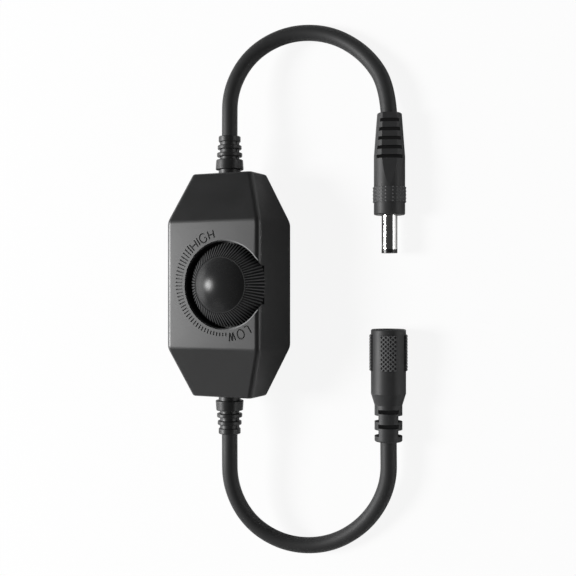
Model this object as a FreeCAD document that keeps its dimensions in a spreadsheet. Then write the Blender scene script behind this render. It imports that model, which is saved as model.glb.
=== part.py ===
import FreeCAD, Part
import math
import os
import re
import Sketcher

# Rotary cord dimmer for a low-voltage light strip, lying on its back. Millimetres.
# The origin is the centre of the casing's flat back face. +X runs across the casing to the side
# where the knob shows through, +Y along the cords to the plug's end, +Z up along the knob's axis.

SIZES = {
    # Casing: a box whose two ends taper in width and in depth
    "housing_length": 80.6,
    "housing_width": 37.6,
    "housing_depth": 27.0,
    "face_length": 45.2,
    "end_width": 24.2,
    "end_depth": 13.35,
    "wall": 2.0,
    "end_wall": 2.5,
    "plan_bend_radius": 8.0,
    "side_bend_radius": 4.0,
    "edge_radius": 2.0,
    "end_edge_radius": 1.2,
    # Screws and the pillars that they run in
    "pillar_side_inset": 2.9,
    "pillar_end_inset": 3.1,
    "pillar_radius": 3.0,
    "screw_radius": 1.05,
    "screw_tip_cover": 6.5,
    "screw_point": 1.2,
    "screw_tip_radius": 0.26,
    "screw_head_radius": 2.1,
    "screw_head_height": 1.5,
    "screw_seat": 4.5,
    "screw_clearance": 0.15,
    "thread_clearance": 0.03,
    "driver_slot_length": 2.4,
    "driver_slot_width": 0.6,
    "driver_slot_depth": 0.8,
    # Recess for the knob, and the scale around it
    "recess_overhang": 1.35,
    "recess_radius": 15.35,
    "recess_depth": 3.8,
    "recess_floor": 1.6,
    "recess_wall": 1.5,
    "recess_bevel": 0.45,
    "tick_count": 35,
    "tick_pitch": 4.0,
    "tick_first": 137.0,
    "tick_gap": 1.4,
    "tick_longest": 3.4,
    "tick_shortest": 1.15,
    "tick_width": 0.45,
    "tick_depth": 0.3,
    # Knob
    "knob_side_gap": 0.45,
    "knob_floor_gap": 0.7,
    "flank_rise": 5.85,
    "rim_radius": 10.0,
    "rim_land": 0.45,
    "dome_rise": 3.2,
    "knob_wall": 2.1,
    "crown_thickness": 1.2,
    "ridge_count": 75,
    "ridge_depth": 0.5,
    "ridge_overrun": 0.3,
    "hub_radius": 4.5,
    "hub_gap": 0.3,
    "bore_end_gap": 0.2,
    # Potentiometer
    "shaft_radius": 3.0,
    "dome_cover": 1.45,
    "shaft_flat": 1.5,
    "knob_fit": 0.02,
    "running_clearance": 0.05,
    "bushing_radius": 3.5,
    "bushing_rise": 3.2,
    "bushing_clearance": 0.1,
    "plate_thickness": 1.0,
    "can_radius": 8.2,
    "can_height": 6.5,
    "can_sheet": 0.4,
    "wafer_thickness": 1.2,
    "wafer_side_gap": 0.2,
    "tongue_width": 14.0,
    "tongue_reach": 2.2,
    "slot_clearance": 0.2,
    "rotor_side_gap": 1.4,
    "rotor_thickness": 1.6,
    "wiper_rise": 1.35,
    "wiper_gap": 0.05,
    "wiper_sheet": 0.25,
    "wiper_inset": 1.2,
    "wiper_width": 1.2,
    "wiper_length": 3.6,
    "shaft_tail": 1.0,
    "lug_pitch": 5.0,
    "lug_width": 1.0,
    "lug_sheet": 0.3,
    "lug_tail": 0.8,
    "washer_radius": 6.2,
    "washer_thickness": 0.5,
    "nut_width": 10.0,
    "nut_height": 2.2,
    # Circuit board and its posts
    "board_side_gap": 1.0,
    "board_end_gap": 2.1,
    "board_thickness": 1.6,
    "board_gap": 4.5,
    "board_pillar_gap": 0.5,
    "post_side_inset": 2.5,
    "post_edge": 1.5,
    "post_radius": 1.8,
    "pin_radius": 0.8,
    "pin_clearance": 0.05,
    "pin_rise": 0.6,
    "lead_clearance": 0.1,
    # Electronic components
    "transistor_side": 6.5,
    "transistor_back": 5.0,
    "transistor_length": 6.1,
    "transistor_width": 6.6,
    "transistor_height": 2.3,
    "transistor_tab_length": 1.6,
    "transistor_tab_width": 5.3,
    "transistor_sheet": 0.5,
    "transistor_lead_length": 2.4,
    "transistor_lead_width": 0.8,
    "transistor_lead_spacing": 4.4,
    "timer_side": 7.5,
    "timer_end": 8.0,
    "timer_length": 5.0,
    "timer_width": 4.0,
    "timer_height": 1.5,
    "timer_lead_pitch": 1.27,
    "timer_lead_reach": 1.0,
    "timer_lead_width": 0.4,
    "timer_lead_sheet": 0.25,
    "diode_end": 7.5,
    "diode_length": 4.6,
    "diode_width": 3.6,
    "diode_height": 2.2,
    "diode_lead_reach": 0.5,
    "diode_lead_width": 2.0,
    "diode_lead_sheet": 0.55,
    "capacitor_side": 6.0,
    "capacitor_front": 4.5,
    "capacitor_radius": 4.0,
    "capacitor_height": 9.0,
    "capacitor_groove": 0.4,
    "capacitor_groove_height": 1.7,
    "chip_side": 2.5,
    "chip_pitch": 2.5,
    "chip_length": 2.0,
    "chip_width": 1.25,
    "resistor_height": 0.5,
    "chip_capacitor_height": 0.9,
    "solder_wall": 0.5,
    "solder_edge": 0.1,
    "solder_height": 0.9,
    # Boots where the cords leave the casing
    "cord_diameter": 5.7,
    "cord_clearance": 0.05,
    "boot_neck_radius": 4.0,
    "boot_neck_length": 1.6,
    "boot_wall_clearance": 0.1,
    "boot_flange_gap": 0.43,
    "boot_flange_thickness": 1.6,
    "collar_rise": 1.65,
    "collar_outer_rise": 1.4,
    "collar_length": 3.7,
    "boot_skin": 0.55,
    "first_gap": 1.0,
    "rib_gap": 1.2,
    "rib_length": 1.5,
    "inner_rib_rise": 1.15,
    "outer_rib_rise": 0.9,
    "tip_rise": 0.55,
    "tip_length": 2.1,
    "boot_web_width": 1.9,
    "boot_web_setback": 0.5,
    "boot_edge_radius": 0.35,
    "cord_in_boot": 11.0,
    "wire_passage_gap": 0.25,
    # Conductors inside the casing
    "wire_radius": 0.8,
    "wire_gap": 0.5,
    "wire_pad_spacing": 6.4,
    "wire_pad_end": 2.4,
    "wire_bend_run": 6.5,
    # Barrel plug on the output cord, lying on the floor
    "plug_x": 58.5,
    "plug_y": 59.4,
    "floor_gap": 0.02,
    "connector_roll": 18.7,
    "plug_length": 35.2,
    "plug_tail_wall": 1.35,
    "plug_radius": 5.4,
    "plug_taper_length": 15.0,
    "plug_edge_radius": 0.5,
    "plug_flat_skin": 0.65,
    "plug_flat_length": 24.8,
    "plug_slot_first": 2.15,
    "plug_slot_pitch": 3.15,
    "plug_slot_width": 1.15,
    "plug_slot_count": 5,
    "plug_core_skin": 0.3,
    "grip_start": 25.6,
    "grip_length": 5.3,
    "grip_rise": 0.25,
    "cord_in_plug": 6.0,
    "barrel_radius": 2.75,
    "barrel_sheet": 0.45,
    "barrel_length": 11.9,
    "barrel_root": 6.0,
    "barrel_root_step": 0.2,
    "tip_ring_step": 0.01,
    "tip_ring_length": 1.3,
    "contact_radius": 1.05,
    "contact_sheet": 0.35,
    # Barrel jack on the input cord, lying on the floor
    "jack_x": 58.4,
    "jack_y": -15.3,
    "jack_radius": 6.05,
    "jack_body_length": 22.2,
    "jack_cone_length": 4.0,
    "jack_tail_wall": 1.9,
    "jack_tail_length": 12.6,
    "jack_edge_radius": 0.6,
    "pad_start": 1.9,
    "pad_length": 12.4,
    "pad_angle": 50.0,
    "pad_rise": 0.4,
    "pad_sink": 0.5,
    "pad_count": 4,
    "tail_slot_first": 1.4,
    "tail_slot_pitch": 5.0,
    "tail_slot_width": 1.35,
    "tail_side_slot_first": 3.45,
    "tail_side_slot_width": 2.15,
    "tail_slot_count": 2,
    "tail_core_skin": 0.5,
    "cord_in_jack": 11.1,
    "socket_clearance": 0.1,
    "socket_depth": 11.0,
    "insert_wall": 1.55,
    "insert_length": 15.0,
    "insert_setback": 0.6,
    "jack_pin_fit": 0.05,
    "jack_pin_root_step": 0.3,
    "jack_pin_taper": 1.0,
    "jack_pin_tip_radius": 0.5,
    "jack_pin_setback": 1.6,
    "spring_sheet": 0.35,
    "spring_width": 2.0,
    "spring_length": 7.5,
    "spring_setback": 2.5,
    "spring_bump": 0.1,
    "spring_bump_length": 2.5,
}

# Routes of the two free cords, from inside the boot to inside the connector. The cord runs straight
# out of the boot, sinks to the floor in a half turn and rises to the height of the connector.
OUTPUT_ROUTE = [
    (0.0, 43.1, 13.5),
    (0.0, 57.0, 13.5),
    (-0.4, 71.5, 12.5),
    (6.3, 84.6, 9.2),
    (19.4, 91.7, 5.4),
    (35.1, 90.6, 2.9),
    (49.5, 81.4, 3.5),
    (58.5, 67.5, 5.67),
    (58.5, 53.4, 5.67),
]
INPUT_ROUTE = [
    (0.0, -43.1, 13.5),
    (0.0, -58.5, 13.5),
    (-0.4, -73.9, 12.5),
    (6.3, -87.4, 9.2),
    (19.4, -94.6, 5.4),
    (35.1, -93.5, 2.9),
    (49.4, -84.2, 3.5),
    (58.4, -69.9, 6.0),
    (58.4, -55.2, 6.47),
    (58.4, -43.0, 6.47),
]

doc = FreeCAD.newDocument("rotary_cord_dimmer")
sheet = doc.addObject("Spreadsheet::Sheet", "sizes")
for row, (size_name, size) in enumerate(SIZES.items(), start=1):
    sheet.set(f"A{row}", size_name)
    sheet.set(f"B{row}", str(size))
    sheet.setAlias(f"B{row}", size_name)
doc.recompute()

Vector = FreeCAD.Vector
UP = Vector(0, 0, 1)
TOUCH = 0.01  # how near a plane an edge counts as lying on it
parts = {}


def bound(text):
    """The same expression, with each size written as a cell of the sheet."""
    return re.sub(r"[a-z_]+", lambda word: f"sizes.{word[0]}" if word[0] in SIZES else word[0], text)


def value(text):
    """The number that an expression of sizes comes to."""
    return float(sheet.evalExpression(text))


def bind(item, **expressions):
    """Tie properties of a document object to expressions of sizes."""
    for name, text in expressions.items():
        item.setExpression(name, bound(text))
    return item


def place(item, x="0", y="0", z="0", turn=None):
    """Put an object at a point given by sizes, turned first if a rotation is given."""
    item.Placement = FreeCAD.Placement(Vector(), turn or FreeCAD.Rotation())
    for axis, text in zip("xyz", (x, y, z)):
        item.setExpression(f"Placement.Base.{axis}", bound(text))
    return item


def keep(label, item):
    """Name a finished sub-part."""
    item.Label = label
    parts[label] = item
    return item


# Primitives and booleans


def brick(x, y, z, length, width, height):
    """A box centred on x and y, standing on z."""
    item = bind(doc.addObject("Part::Box", "brick"), Length=length, Width=width, Height=height)
    return place(item, f"{x} - ({length}) / 2", f"{y} - ({width}) / 2", z)


def rod(x, y, z, radius, height, turn=None):
    """A cylinder from x, y, z along Z, or along the direction that Z is turned to."""
    item = bind(doc.addObject("Part::Cylinder", "rod"), Radius=radius, Height=height)
    return place(item, x, y, z, turn)


def taper(x, y, z, low_radius, high_radius, height):
    """A cone or a frustum standing on z."""
    item = doc.addObject("Part::Cone", "taper")
    bind(item, Radius1=low_radius, Radius2=high_radius, Height=height)
    return place(item, x, y, z)


def fuse(*pieces):
    item = doc.addObject("Part::MultiFuse", "fused")
    item.Shapes = list(pieces)
    return item


def cut(base, *tools):
    item = doc.addObject("Part::Cut", "cut")
    item.Base = base
    item.Tool = tools[0] if len(tools) == 1 else fuse(*tools)
    return item


def group(pieces):
    """Like pieces that share one node and stay separate solids."""
    item = doc.addObject("Part::Compound", "group")
    item.Links = list(pieces)
    return item


# Sketches and body features


def attach(body, role, x="0", y="0", lift="0", turn=0.0):
    """An empty sketch on one of the body's own planes, shifted and turned within that plane."""
    sketch = body.newObject("Sketcher::SketchObject", "sketch")
    plane = next(item for item in body.Origin.OriginFeatures if item.Role == role)
    sketch.AttachmentSupport = (plane, [""])
    sketch.MapMode = "FlatFace"
    sketch.AttachmentOffset = FreeCAD.Placement(Vector(), FreeCAD.Rotation(UP, turn))
    for axis, text in zip("xyz", (x, y, lift)):
        sketch.setExpression(f"AttachmentOffset.Base.{axis}", bound(text))
    return sketch


def pin_point(sketch, geometry, position, x, y):
    """Hold a point of a sketch at x, y from the sketch's origin."""
    for kind, text in (("DistanceX", x), ("DistanceY", y)):
        rule = Sketcher.Constraint(kind, -1, 1, geometry, position, value(text))
        number = sketch.addConstraint(rule)
        sketch.setExpression(f"Constraints[{number}]", bound(text))


def draw(sketch, points):
    """Add a closed loop through points of (x, y).
    A third item, "arc", makes the way to the next point an anticlockwise arc centred on x = 0."""
    first = sketch.GeometryCount
    corners = [Vector(value(point[0]), value(point[1]), 0) for point in points]
    for number, point in enumerate(points):
        here = corners[number]
        there = corners[(number + 1) % len(points)]
        if len(point) == 3:
            middle = (there.dot(there) - here.dot(here)) / (2 * (there.y - here.y))
            centre = Vector(0, middle, 0)
            angles = [math.atan2(end.y - middle, end.x) for end in (here, there)]
            circle = Part.Circle(centre, UP, (here - centre).Length)
            sketch.addGeometry(Part.ArcOfCircle(circle, *angles), False)
            sketch.addConstraint(Sketcher.Constraint("PointOnObject", first + number, 3, -2))
        else:
            sketch.addGeometry(Part.LineSegment(here, there), False)
    for number, point in enumerate(points):
        after = first + (number + 1) % len(points)
        sketch.addConstraint(Sketcher.Constraint("Coincident", first + number, 2, after, 1))
    for number, point in enumerate(points):
        pin_point(sketch, first + number, 1, point[0], point[1])
    return sketch


def rectangle(low_x, high_x, low_y, high_y):
    return [(low_x, low_y), (high_x, low_y), (high_x, high_y), (low_x, high_y)]


def draw_circle(sketch, x, y, radius):
    number = sketch.GeometryCount
    centre = Vector(value(x), value(y), 0)
    sketch.addGeometry(Part.Circle(centre, UP, value(radius)), False)
    pin_point(sketch, number, 3, x, y)
    rule = sketch.addConstraint(Sketcher.Constraint("Radius", number, value(radius)))
    sketch.setExpression(f"Constraints[{rule}]", bound(radius))
    return sketch


def feature(body, kind, sketch, length=None, both_ways=False, reverse=False):
    """A Pad or Pocket of a sketch, through everything if no length is given."""
    item = body.newObject(f"PartDesign::{kind}", kind.lower())
    item.Profile = sketch
    item.Midplane = both_ways
    item.Reversed = reverse
    if length:
        bind(item, Length=length)
    else:
        item.Type = "ThroughAll"
    doc.recompute()
    return item


def revolve(body, sketch, angle=None):
    """A full turn of a sketch about its vertical axis, or part of a turn, half to each side."""
    item = body.newObject("PartDesign::Revolution", "revolution")
    item.Profile = sketch
    item.ReferenceAxis = (sketch, ["V_Axis"])
    item.Angle = 360
    if angle:
        item.Midplane = True
        bind(item, Angle=angle)
    doc.recompute()
    return item


def dress_edges(body, kind, base, chosen, **size):
    """A Fillet or Chamfer on each edge of a feature for which chosen(edge) is true."""
    item = body.newObject(f"PartDesign::{kind}", kind.lower())
    names = [f"Edge{number}" for number, edge in enumerate(base.Shape.Edges, start=1) if chosen(edge)]
    item.Base = (base, names)
    bind(item, **size)
    doc.recompute()
    return item


def round_edges(body, base, radius, chosen):
    return dress_edges(body, "Fillet", base, chosen, Radius=radius)


def bevel_edges(body, base, size, chosen):
    return dress_edges(body, "Chamfer", base, chosen, Size=size)


def repeat(body, original, axis, count, angle):
    """A polar pattern of one feature over an angle, ends included, or round a full turn."""
    item = body.newObject("PartDesign::PolarPattern", "pattern")
    item.Originals = [original]
    item.Axis = axis
    bind(item, Angle=angle, Occurrences=count)
    body.Tip = item
    doc.recompute()
    return item


def combine(body, tool, kind):
    """Cut another body from this one, or keep what they have in common."""
    item = body.newObject("PartDesign::Boolean", "boolean")
    item.Type = kind
    item.setObjects([tool])
    doc.recompute()
    return item


def new_body(name):
    return doc.addObject("PartDesign::Body", name)


def turned(name, points):
    """A body turned from a profile of (radius, height) about its own Z."""
    body = new_body(name)
    revolve(body, draw(attach(body, "XZ_Plane"), points))
    return body


# Casing halves

MIDDLE = "housing_depth / 2"
RECESS_FLOOR = "housing_depth - recess_depth"
POT_SEAT = f"{RECESS_FLOOR} - recess_floor"
WIDTH_SLOPE = "(housing_width - end_width) / (housing_length - face_length)"
DEPTH_SLOPE = "(housing_depth - end_depth) / (housing_length - face_length)"
KNOB_X = "(housing_width / 2 + recess_overhang - recess_radius)"
TICK_RADIUS = "(recess_radius + tick_gap)"
CORNERS = [(side, end) for side in (-1, 1) for end in (-1, 1)]
PILLAR_X = "(housing_width / 2 - wall - pillar_side_inset)"
PILLAR_Y = "(face_length / 2 - pillar_end_inset)"
PILLARS = [(f"{side} * {PILLAR_X}", f"{end} * {PILLAR_Y}") for side, end in CORNERS]
SCREW_LENGTH = "(housing_depth - screw_seat - screw_tip_cover)"
PLATE_BASE = f"{POT_SEAT} - plate_thickness"
CAN_BASE = f"{PLATE_BASE} - can_height"
BOARD_TOP = f"({CAN_BASE} - board_gap)"
BOARD_BASE = f"({BOARD_TOP} - board_thickness)"
BOARD_WIDTH = "(housing_width - 2 * wall - 2 * board_side_gap)"
BOARD_LENGTH = "(face_length - 2 * board_end_gap)"
BOARD_CUT_Y = f"({PILLAR_Y} - pillar_radius - board_pillar_gap)"
POST_X = f"({BOARD_WIDTH} / 2 - post_side_inset)"
POST_Y = f"({BOARD_CUT_Y} - post_edge)"
POSTS = [(f"{side} * {POST_X}", f"{end} * {POST_Y}") for side, end in CORNERS]
CORD_BORE = "(cord_diameter / 2 + cord_clearance)"

OUTER = {
    "half_width": "housing_width / 2",
    "half_depth": "housing_depth / 2",
    "half_length": "housing_length / 2",
    "end_half_width": "end_width / 2",
    "end_half_depth": "end_depth / 2",
}
INNER = {
    "half_width": "housing_width / 2 - wall",
    "half_depth": "housing_depth / 2 - wall",
    "half_length": "housing_length / 2 - end_wall",
    "end_half_width": f"end_width / 2 + end_wall * {WIDTH_SLOPE} - wall",
    "end_half_depth": f"end_depth / 2 + end_wall * {DEPTH_SLOPE} - wall",
}


def tapered_outline(half_across, end_half_across, half_length):
    """The eight corners of an outline that tapers at both ends, as (across, along)."""
    half_face = "face_length / 2"
    corners = [(end_half_across, f"-({half_length})"), (half_across, f"-({half_face})")]
    corners += [(half_across, half_face), (end_half_across, half_length)]
    return corners + [(f"-({across})", along) for across, along in reversed(corners)]


def is_bend(edge):
    """Whether an edge of a prism lies on one of the bends between its middle and its tapers."""
    return abs(abs(edge.CenterOfMass.y) - value("face_length / 2")) < TOUCH


def faceted(name, sizes, low, height, bent):
    """A box with tapered ends: what a prism of its plan and a prism of its side have in common."""
    plan = new_body(f"{name}_plan")
    outline = tapered_outline(sizes["half_width"], sizes["end_half_width"], sizes["half_length"])
    solid = feature(plan, "Pad", draw(attach(plan, "XY_Plane", lift=low), outline), height)
    side = new_body(f"{name}_side")
    outline = tapered_outline(sizes["half_depth"], sizes["end_half_depth"], sizes["half_length"])
    sketch = draw(attach(side, "YZ_Plane", y=MIDDLE), [(along, across) for across, along in outline])
    beam = feature(side, "Pad", sketch, "housing_width * 2", both_ways=True)
    if bent:
        round_edges(plan, solid, "plan_bend_radius", is_bend)
        round_edges(side, beam, "side_bend_radius", is_bend)
    return plan, combine(plan, side, "Common")


def cavity():
    """The casing's inner space, less the screw pillars and the cup under the knob."""
    body, _ = faceted("cavity", INNER, "wall", "housing_depth - 2 * wall", False)
    sketch = attach(body, "XY_Plane")
    for x, y in PILLARS:
        draw_circle(sketch, x, y, "pillar_radius")
    feature(body, "Pocket", sketch, reverse=True)
    cup = attach(body, "XY_Plane", lift=POT_SEAT)
    draw_circle(cup, KNOB_X, "0", "recess_radius + recess_wall")
    feature(body, "Pocket", cup, reverse=True)
    return body


def half_shell(label, low):
    """One half of the casing, hollow, with its outer edges rounded and a half hole at each end."""
    body, solid = faceted(label, OUTER, low, MIDDLE, True)
    half_length = value("housing_length / 2")
    half_width = value("housing_width / 2")
    middle = value(MIDDLE)
    near = value("end_edge_radius / 4")

    def is_long_edge(edge):
        """Whether an edge runs along the casing, between a side and the front or the back."""
        centre = edge.CenterOfMass
        past_bend = max(0.0, abs(centre.y) - value("face_length / 2"))
        at_side = abs(centre.x) - half_width + past_bend * value(WIDTH_SLOPE)
        at_face = abs(centre.z - middle) - middle + past_bend * value(DEPTH_SLOPE)
        return abs(at_side) < near and abs(at_face) < near

    def is_end_edge(edge):
        """Whether an edge bounds an end face, apart from the parting line."""
        at_end = all(abs(abs(point.Point.y) - half_length) < TOUCH for point in edge.Vertexes)
        return at_end and abs(edge.CenterOfMass.z - middle) > TOUCH

    solid = round_edges(body, solid, "edge_radius", is_long_edge)
    round_edges(body, solid, "end_edge_radius", is_end_edge)
    combine(body, cavity(), "Cut")
    hole = attach(body, "XZ_Plane", y=MIDDLE)
    draw_circle(hole, "0", "0", "boot_neck_radius + boot_wall_clearance")
    feature(body, "Pocket", hole, both_ways=True)
    return body


def scale_tick(number):
    """The cutter of one tick of the scale, which shortens step by step from the first tick to the last."""
    angle = f"(tick_first + {number} * tick_pitch)"
    length = f"tick_longest - (tick_longest - tick_shortest) * {number} / (tick_count - 1)"
    item = doc.addObject("Part::Box", "tick")
    bind(item, Length=length, Width="tick_width", Height="tick_depth * 2")
    x = f"{KNOB_X} + {TICK_RADIUS} * cos({angle}) + tick_width / 2 * sin({angle})"
    y = f"{TICK_RADIUS} * sin({angle}) - tick_width / 2 * cos({angle})"
    return place(item, x, y, "housing_depth - tick_depth", FreeCAD.Rotation(UP, value(angle)))


def front_housing():
    body = half_shell("front_housing", MIDDLE)
    recess = draw_circle(attach(body, "XY_Plane", lift=RECESS_FLOOR), KNOB_X, "0", "recess_radius")
    feature(body, "Pocket", recess, reverse=True)
    hole = attach(body, "XY_Plane")
    draw_circle(hole, KNOB_X, "0", "bushing_radius + bushing_clearance")
    feature(body, "Pocket", hole, reverse=True)
    pilots = attach(body, "XY_Plane", lift=MIDDLE)
    for x, y in PILLARS:
        draw_circle(pilots, x, y, "screw_radius + thread_clearance")
    depth = f"screw_seat + {SCREW_LENGTH} + screw_point - {MIDDLE}"
    pilots = feature(body, "Pocket", pilots, depth, reverse=True)
    rim_height = value("housing_depth")
    rim_radius = value("recess_radius")

    def is_recess_rim(edge):
        """Whether an edge is the recess's rim in the front face."""
        circle = edge.Curve
        if not isinstance(circle, Part.Circle) or abs(circle.Radius - rim_radius) > TOUCH:
            return False
        return abs(circle.Center.z - rim_height) < TOUCH

    bevel_edges(body, pilots, "recess_bevel", is_recess_rim)
    ticks = [scale_tick(number) for number in range(int(value("tick_count")))]
    keep("front_housing", cut(body, *ticks))


def rear_housing():
    body = half_shell("rear_housing", "0")
    holes = attach(body, "XY_Plane")
    heads = attach(body, "XY_Plane")
    for x, y in PILLARS:
        draw_circle(holes, x, y, "screw_radius + screw_clearance")
        draw_circle(heads, x, y, "screw_head_radius + screw_clearance")
    feature(body, "Pocket", holes, reverse=True)
    feature(body, "Pocket", heads, "screw_seat", reverse=True)
    posts = attach(body, "XY_Plane", lift="wall / 2")
    pins = attach(body, "XY_Plane", lift="wall / 2")
    for x, y in POSTS:
        draw_circle(posts, x, y, "post_radius")
        draw_circle(pins, x, y, "pin_radius")
    feature(body, "Pad", posts, f"{BOARD_BASE} - wall / 2")
    feature(body, "Pad", pins, f"{BOARD_TOP} + pin_rise - wall / 2")
    keep("rear_housing", body)


def housing_screws():
    """Four self-tapping screws with cross slots, their heads towards the back."""
    screws = []
    for x, y in PILLARS:
        underside = "screw_seat - screw_head_height"
        head = rod(x, y, underside, "screw_head_radius", "screw_head_height")
        shank = rod(x, y, "screw_seat", "screw_radius", f"{SCREW_LENGTH} - screw_point")
        end = f"screw_seat + {SCREW_LENGTH} - screw_point"
        point = taper(x, y, end, "screw_radius", "screw_tip_radius", "screw_point")
        slots = [
            brick(x, y, underside, "driver_slot_length", "driver_slot_width", "driver_slot_depth"),
            brick(x, y, underside, "driver_slot_width", "driver_slot_length", "driver_slot_depth"),
        ]
        screws.append(cut(fuse(head, shank, point), *slots))
    keep("housing_screws", group(screws))


# Knob and potentiometer

KNOB_BASE = f"{RECESS_FLOOR} + knob_floor_gap"
KNOB_RADIUS = "(recess_radius - knob_side_gap)"
KNOB_RIM = f"{KNOB_BASE} + flank_rise"
FLANK_SLOPE = f"({KNOB_RADIUS} - rim_radius) / flank_rise"
HUB_BASE = f"{RECESS_FLOOR} + bushing_rise + hub_gap"
BORE_TOP = f"{KNOB_RIM} + dome_rise - dome_cover"
SHAFT_TOP = f"{BORE_TOP} - bore_end_gap"


def flat_shaft(radius, flat):
    """The outline of a shaft with one flat."""
    half_chord = f"sqrt(({radius}) * ({radius}) - ({flat}) * ({flat}))"
    return [(flat, half_chord, "arc"), (flat, f"-{half_chord}")]


def dimmer_knob():
    """A hollow domed knob with a hub, and V-shaped grooves that run up its sloping flank."""
    ceiling = f"{KNOB_RIM} - crown_thickness"
    inner_rim = f"{KNOB_RADIUS} - knob_wall - (flank_rise - crown_thickness) * {FLANK_SLOPE}"
    body = turned("knob", [
        ("0", HUB_BASE),
        ("hub_radius", HUB_BASE),
        ("hub_radius", ceiling),
        (inner_rim, ceiling),
        (f"{KNOB_RADIUS} - knob_wall", KNOB_BASE),
        (KNOB_RADIUS, KNOB_BASE),
        ("rim_radius", KNOB_RIM),
        ("rim_radius - rim_land", KNOB_RIM, "arc"),
        ("0", f"{KNOB_RIM} + dome_rise"),
    ])
    bore = attach(body, "XY_Plane", lift=BORE_TOP)
    draw(bore, flat_shaft("shaft_radius + knob_fit", "shaft_flat + knob_fit"))
    feature(body, "Pocket", bore)
    sections = []
    for height, radius in ((KNOB_BASE, KNOB_RADIUS), (KNOB_RIM, "rim_radius")):
        past = "ridge_overrun" if height == KNOB_RIM else "-ridge_overrun"
        reach = f"({radius} - ({past}) * {FLANK_SLOPE})"
        section = attach(body, "XY_Plane", lift=f"{height} + {past}")
        half = f"{reach} * tan(180 / ridge_count * 1 deg)"
        bottom = f"{reach} - ridge_depth * {reach} / {KNOB_RADIUS}"
        outside = f"{reach} + ridge_overrun"
        draw(section, [(bottom, "0"), (outside, f"-{half}"), (outside, half)])
        sections.append(section)
    groove = body.newObject("PartDesign::SubtractiveLoft", "groove")
    groove.Profile = sections[0]
    groove.Sections = sections[1:]
    groove.Ruled = True
    doc.recompute()
    axis = next(item for item in body.Origin.OriginFeatures if item.Role == "Z_Axis")
    repeat(body, groove, (axis, [""]), "ridge_count", "360")
    place(body, KNOB_X)
    keep("dimmer_knob", body)


WAFER_BASE = f"{PLATE_BASE} - wafer_thickness"
WAFER_RADIUS = "can_radius - can_sheet - wafer_side_gap"
ROTOR_TOP = f"{WAFER_BASE} - wiper_gap - wiper_rise"
ROTOR_BASE = f"{ROTOR_TOP} - rotor_thickness"
ROTOR_RADIUS = "(can_radius - can_sheet - rotor_side_gap)"
LUG_Y = "-(can_radius + tongue_reach)"
LUG_HOLE = "(lug_width / 2 + lead_clearance)"
LUGS = [f"{KNOB_X} + {step} * lug_pitch" for step in (-1, 0, 1)]


def pot_shaft():
    base = f"{ROTOR_BASE} - shaft_tail"
    shaft = rod(KNOB_X, "0", base, "shaft_radius", f"{SHAFT_TOP} - ({base})")
    side = "(shaft_radius - shaft_flat)"
    flat = brick(f"{KNOB_X} + shaft_flat + {side} / 2", "0", HUB_BASE, side, "shaft_radius * 2",
                 f"{SHAFT_TOP} - ({HUB_BASE})")
    keep("pot_shaft", cut(shaft, flat))


def pot_bushing():
    """The threaded bush and the plate that it is cast with."""
    plate = rod(KNOB_X, "0", PLATE_BASE, "can_radius", "plate_thickness")
    bush = rod(KNOB_X, "0", POT_SEAT, "bushing_radius", "recess_floor + bushing_rise")
    length = "plate_thickness + recess_floor + bushing_rise"
    bore = rod(KNOB_X, "0", PLATE_BASE, "shaft_radius + running_clearance", length)
    keep("pot_bushing", cut(fuse(plate, bush), bore))


def pot_wafer():
    """The track's disc, with the tongue that carries the lugs."""
    disc = rod(KNOB_X, "0", WAFER_BASE, WAFER_RADIUS, "wafer_thickness")
    reach = "can_radius + tongue_reach"
    tongue = brick(KNOB_X, f"-({reach}) / 2", WAFER_BASE, "tongue_width", reach, "wafer_thickness")
    hole = rod(KNOB_X, "0", WAFER_BASE, "bushing_radius", "wafer_thickness")
    keep("pot_wafer", cut(fuse(disc, tongue), hole))


def pot_cover():
    """A round can with a slot for the wafer's tongue and its lugs."""
    can = rod(KNOB_X, "0", CAN_BASE, "can_radius", "can_height")
    inside = rod(KNOB_X, "0", f"{CAN_BASE} + can_sheet", "can_radius - can_sheet", "can_height")
    height = "wafer_thickness + lug_sheet + slot_clearance"
    slot = brick(KNOB_X, "-can_radius", f"{PLATE_BASE} - ({height})",
                 "tongue_width + 2 * slot_clearance", "can_radius * 2", height)
    keep("pot_cover", cut(can, inside, slot))


def pot_rotor():
    disc = rod(KNOB_X, "0", ROTOR_BASE, ROTOR_RADIUS, "rotor_thickness")
    hole = rod(KNOB_X, "0", ROTOR_BASE, "shaft_radius + knob_fit", "rotor_thickness")
    keep("pot_rotor", cut(disc, hole))


def pot_wiper():
    """A strip on the rotor whose end stands up to the track."""
    middle = f"{KNOB_X} + {ROTOR_RADIUS} - wiper_inset"
    strip = brick(middle, "0", ROTOR_TOP, "wiper_width", "wiper_length", "wiper_sheet")
    end = "(wiper_length - wiper_sheet) / 2"
    finger = brick(middle, end, ROTOR_TOP, "wiper_width", "wiper_sheet", "wiper_rise")
    keep("pot_wiper", fuse(strip, finger))


def pot_terminals():
    """Three lugs that lie under the tongue, pass its end and go down through the board."""
    lugs = []
    foot = f"{BOARD_BASE} - lug_tail"
    for x in LUGS:
        run = "tongue_reach + lug_sheet"
        flat = brick(x, f"{LUG_Y} - lug_sheet + ({run}) / 2", f"{WAFER_BASE} - lug_sheet",
                     "lug_width", run, "lug_sheet")
        leg = brick(x, f"{LUG_Y} - lug_sheet / 2", foot,
                    "lug_width", "lug_sheet", f"{WAFER_BASE} - ({foot})")
        lugs.append(fuse(flat, leg))
    keep("pot_terminals", group(lugs))


def pot_washer():
    ring = rod(KNOB_X, "0", RECESS_FLOOR, "washer_radius", "washer_thickness")
    hole = rod(KNOB_X, "0", RECESS_FLOOR, "bushing_radius + running_clearance", "washer_thickness")
    keep("pot_washer", cut(ring, hole))


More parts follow.
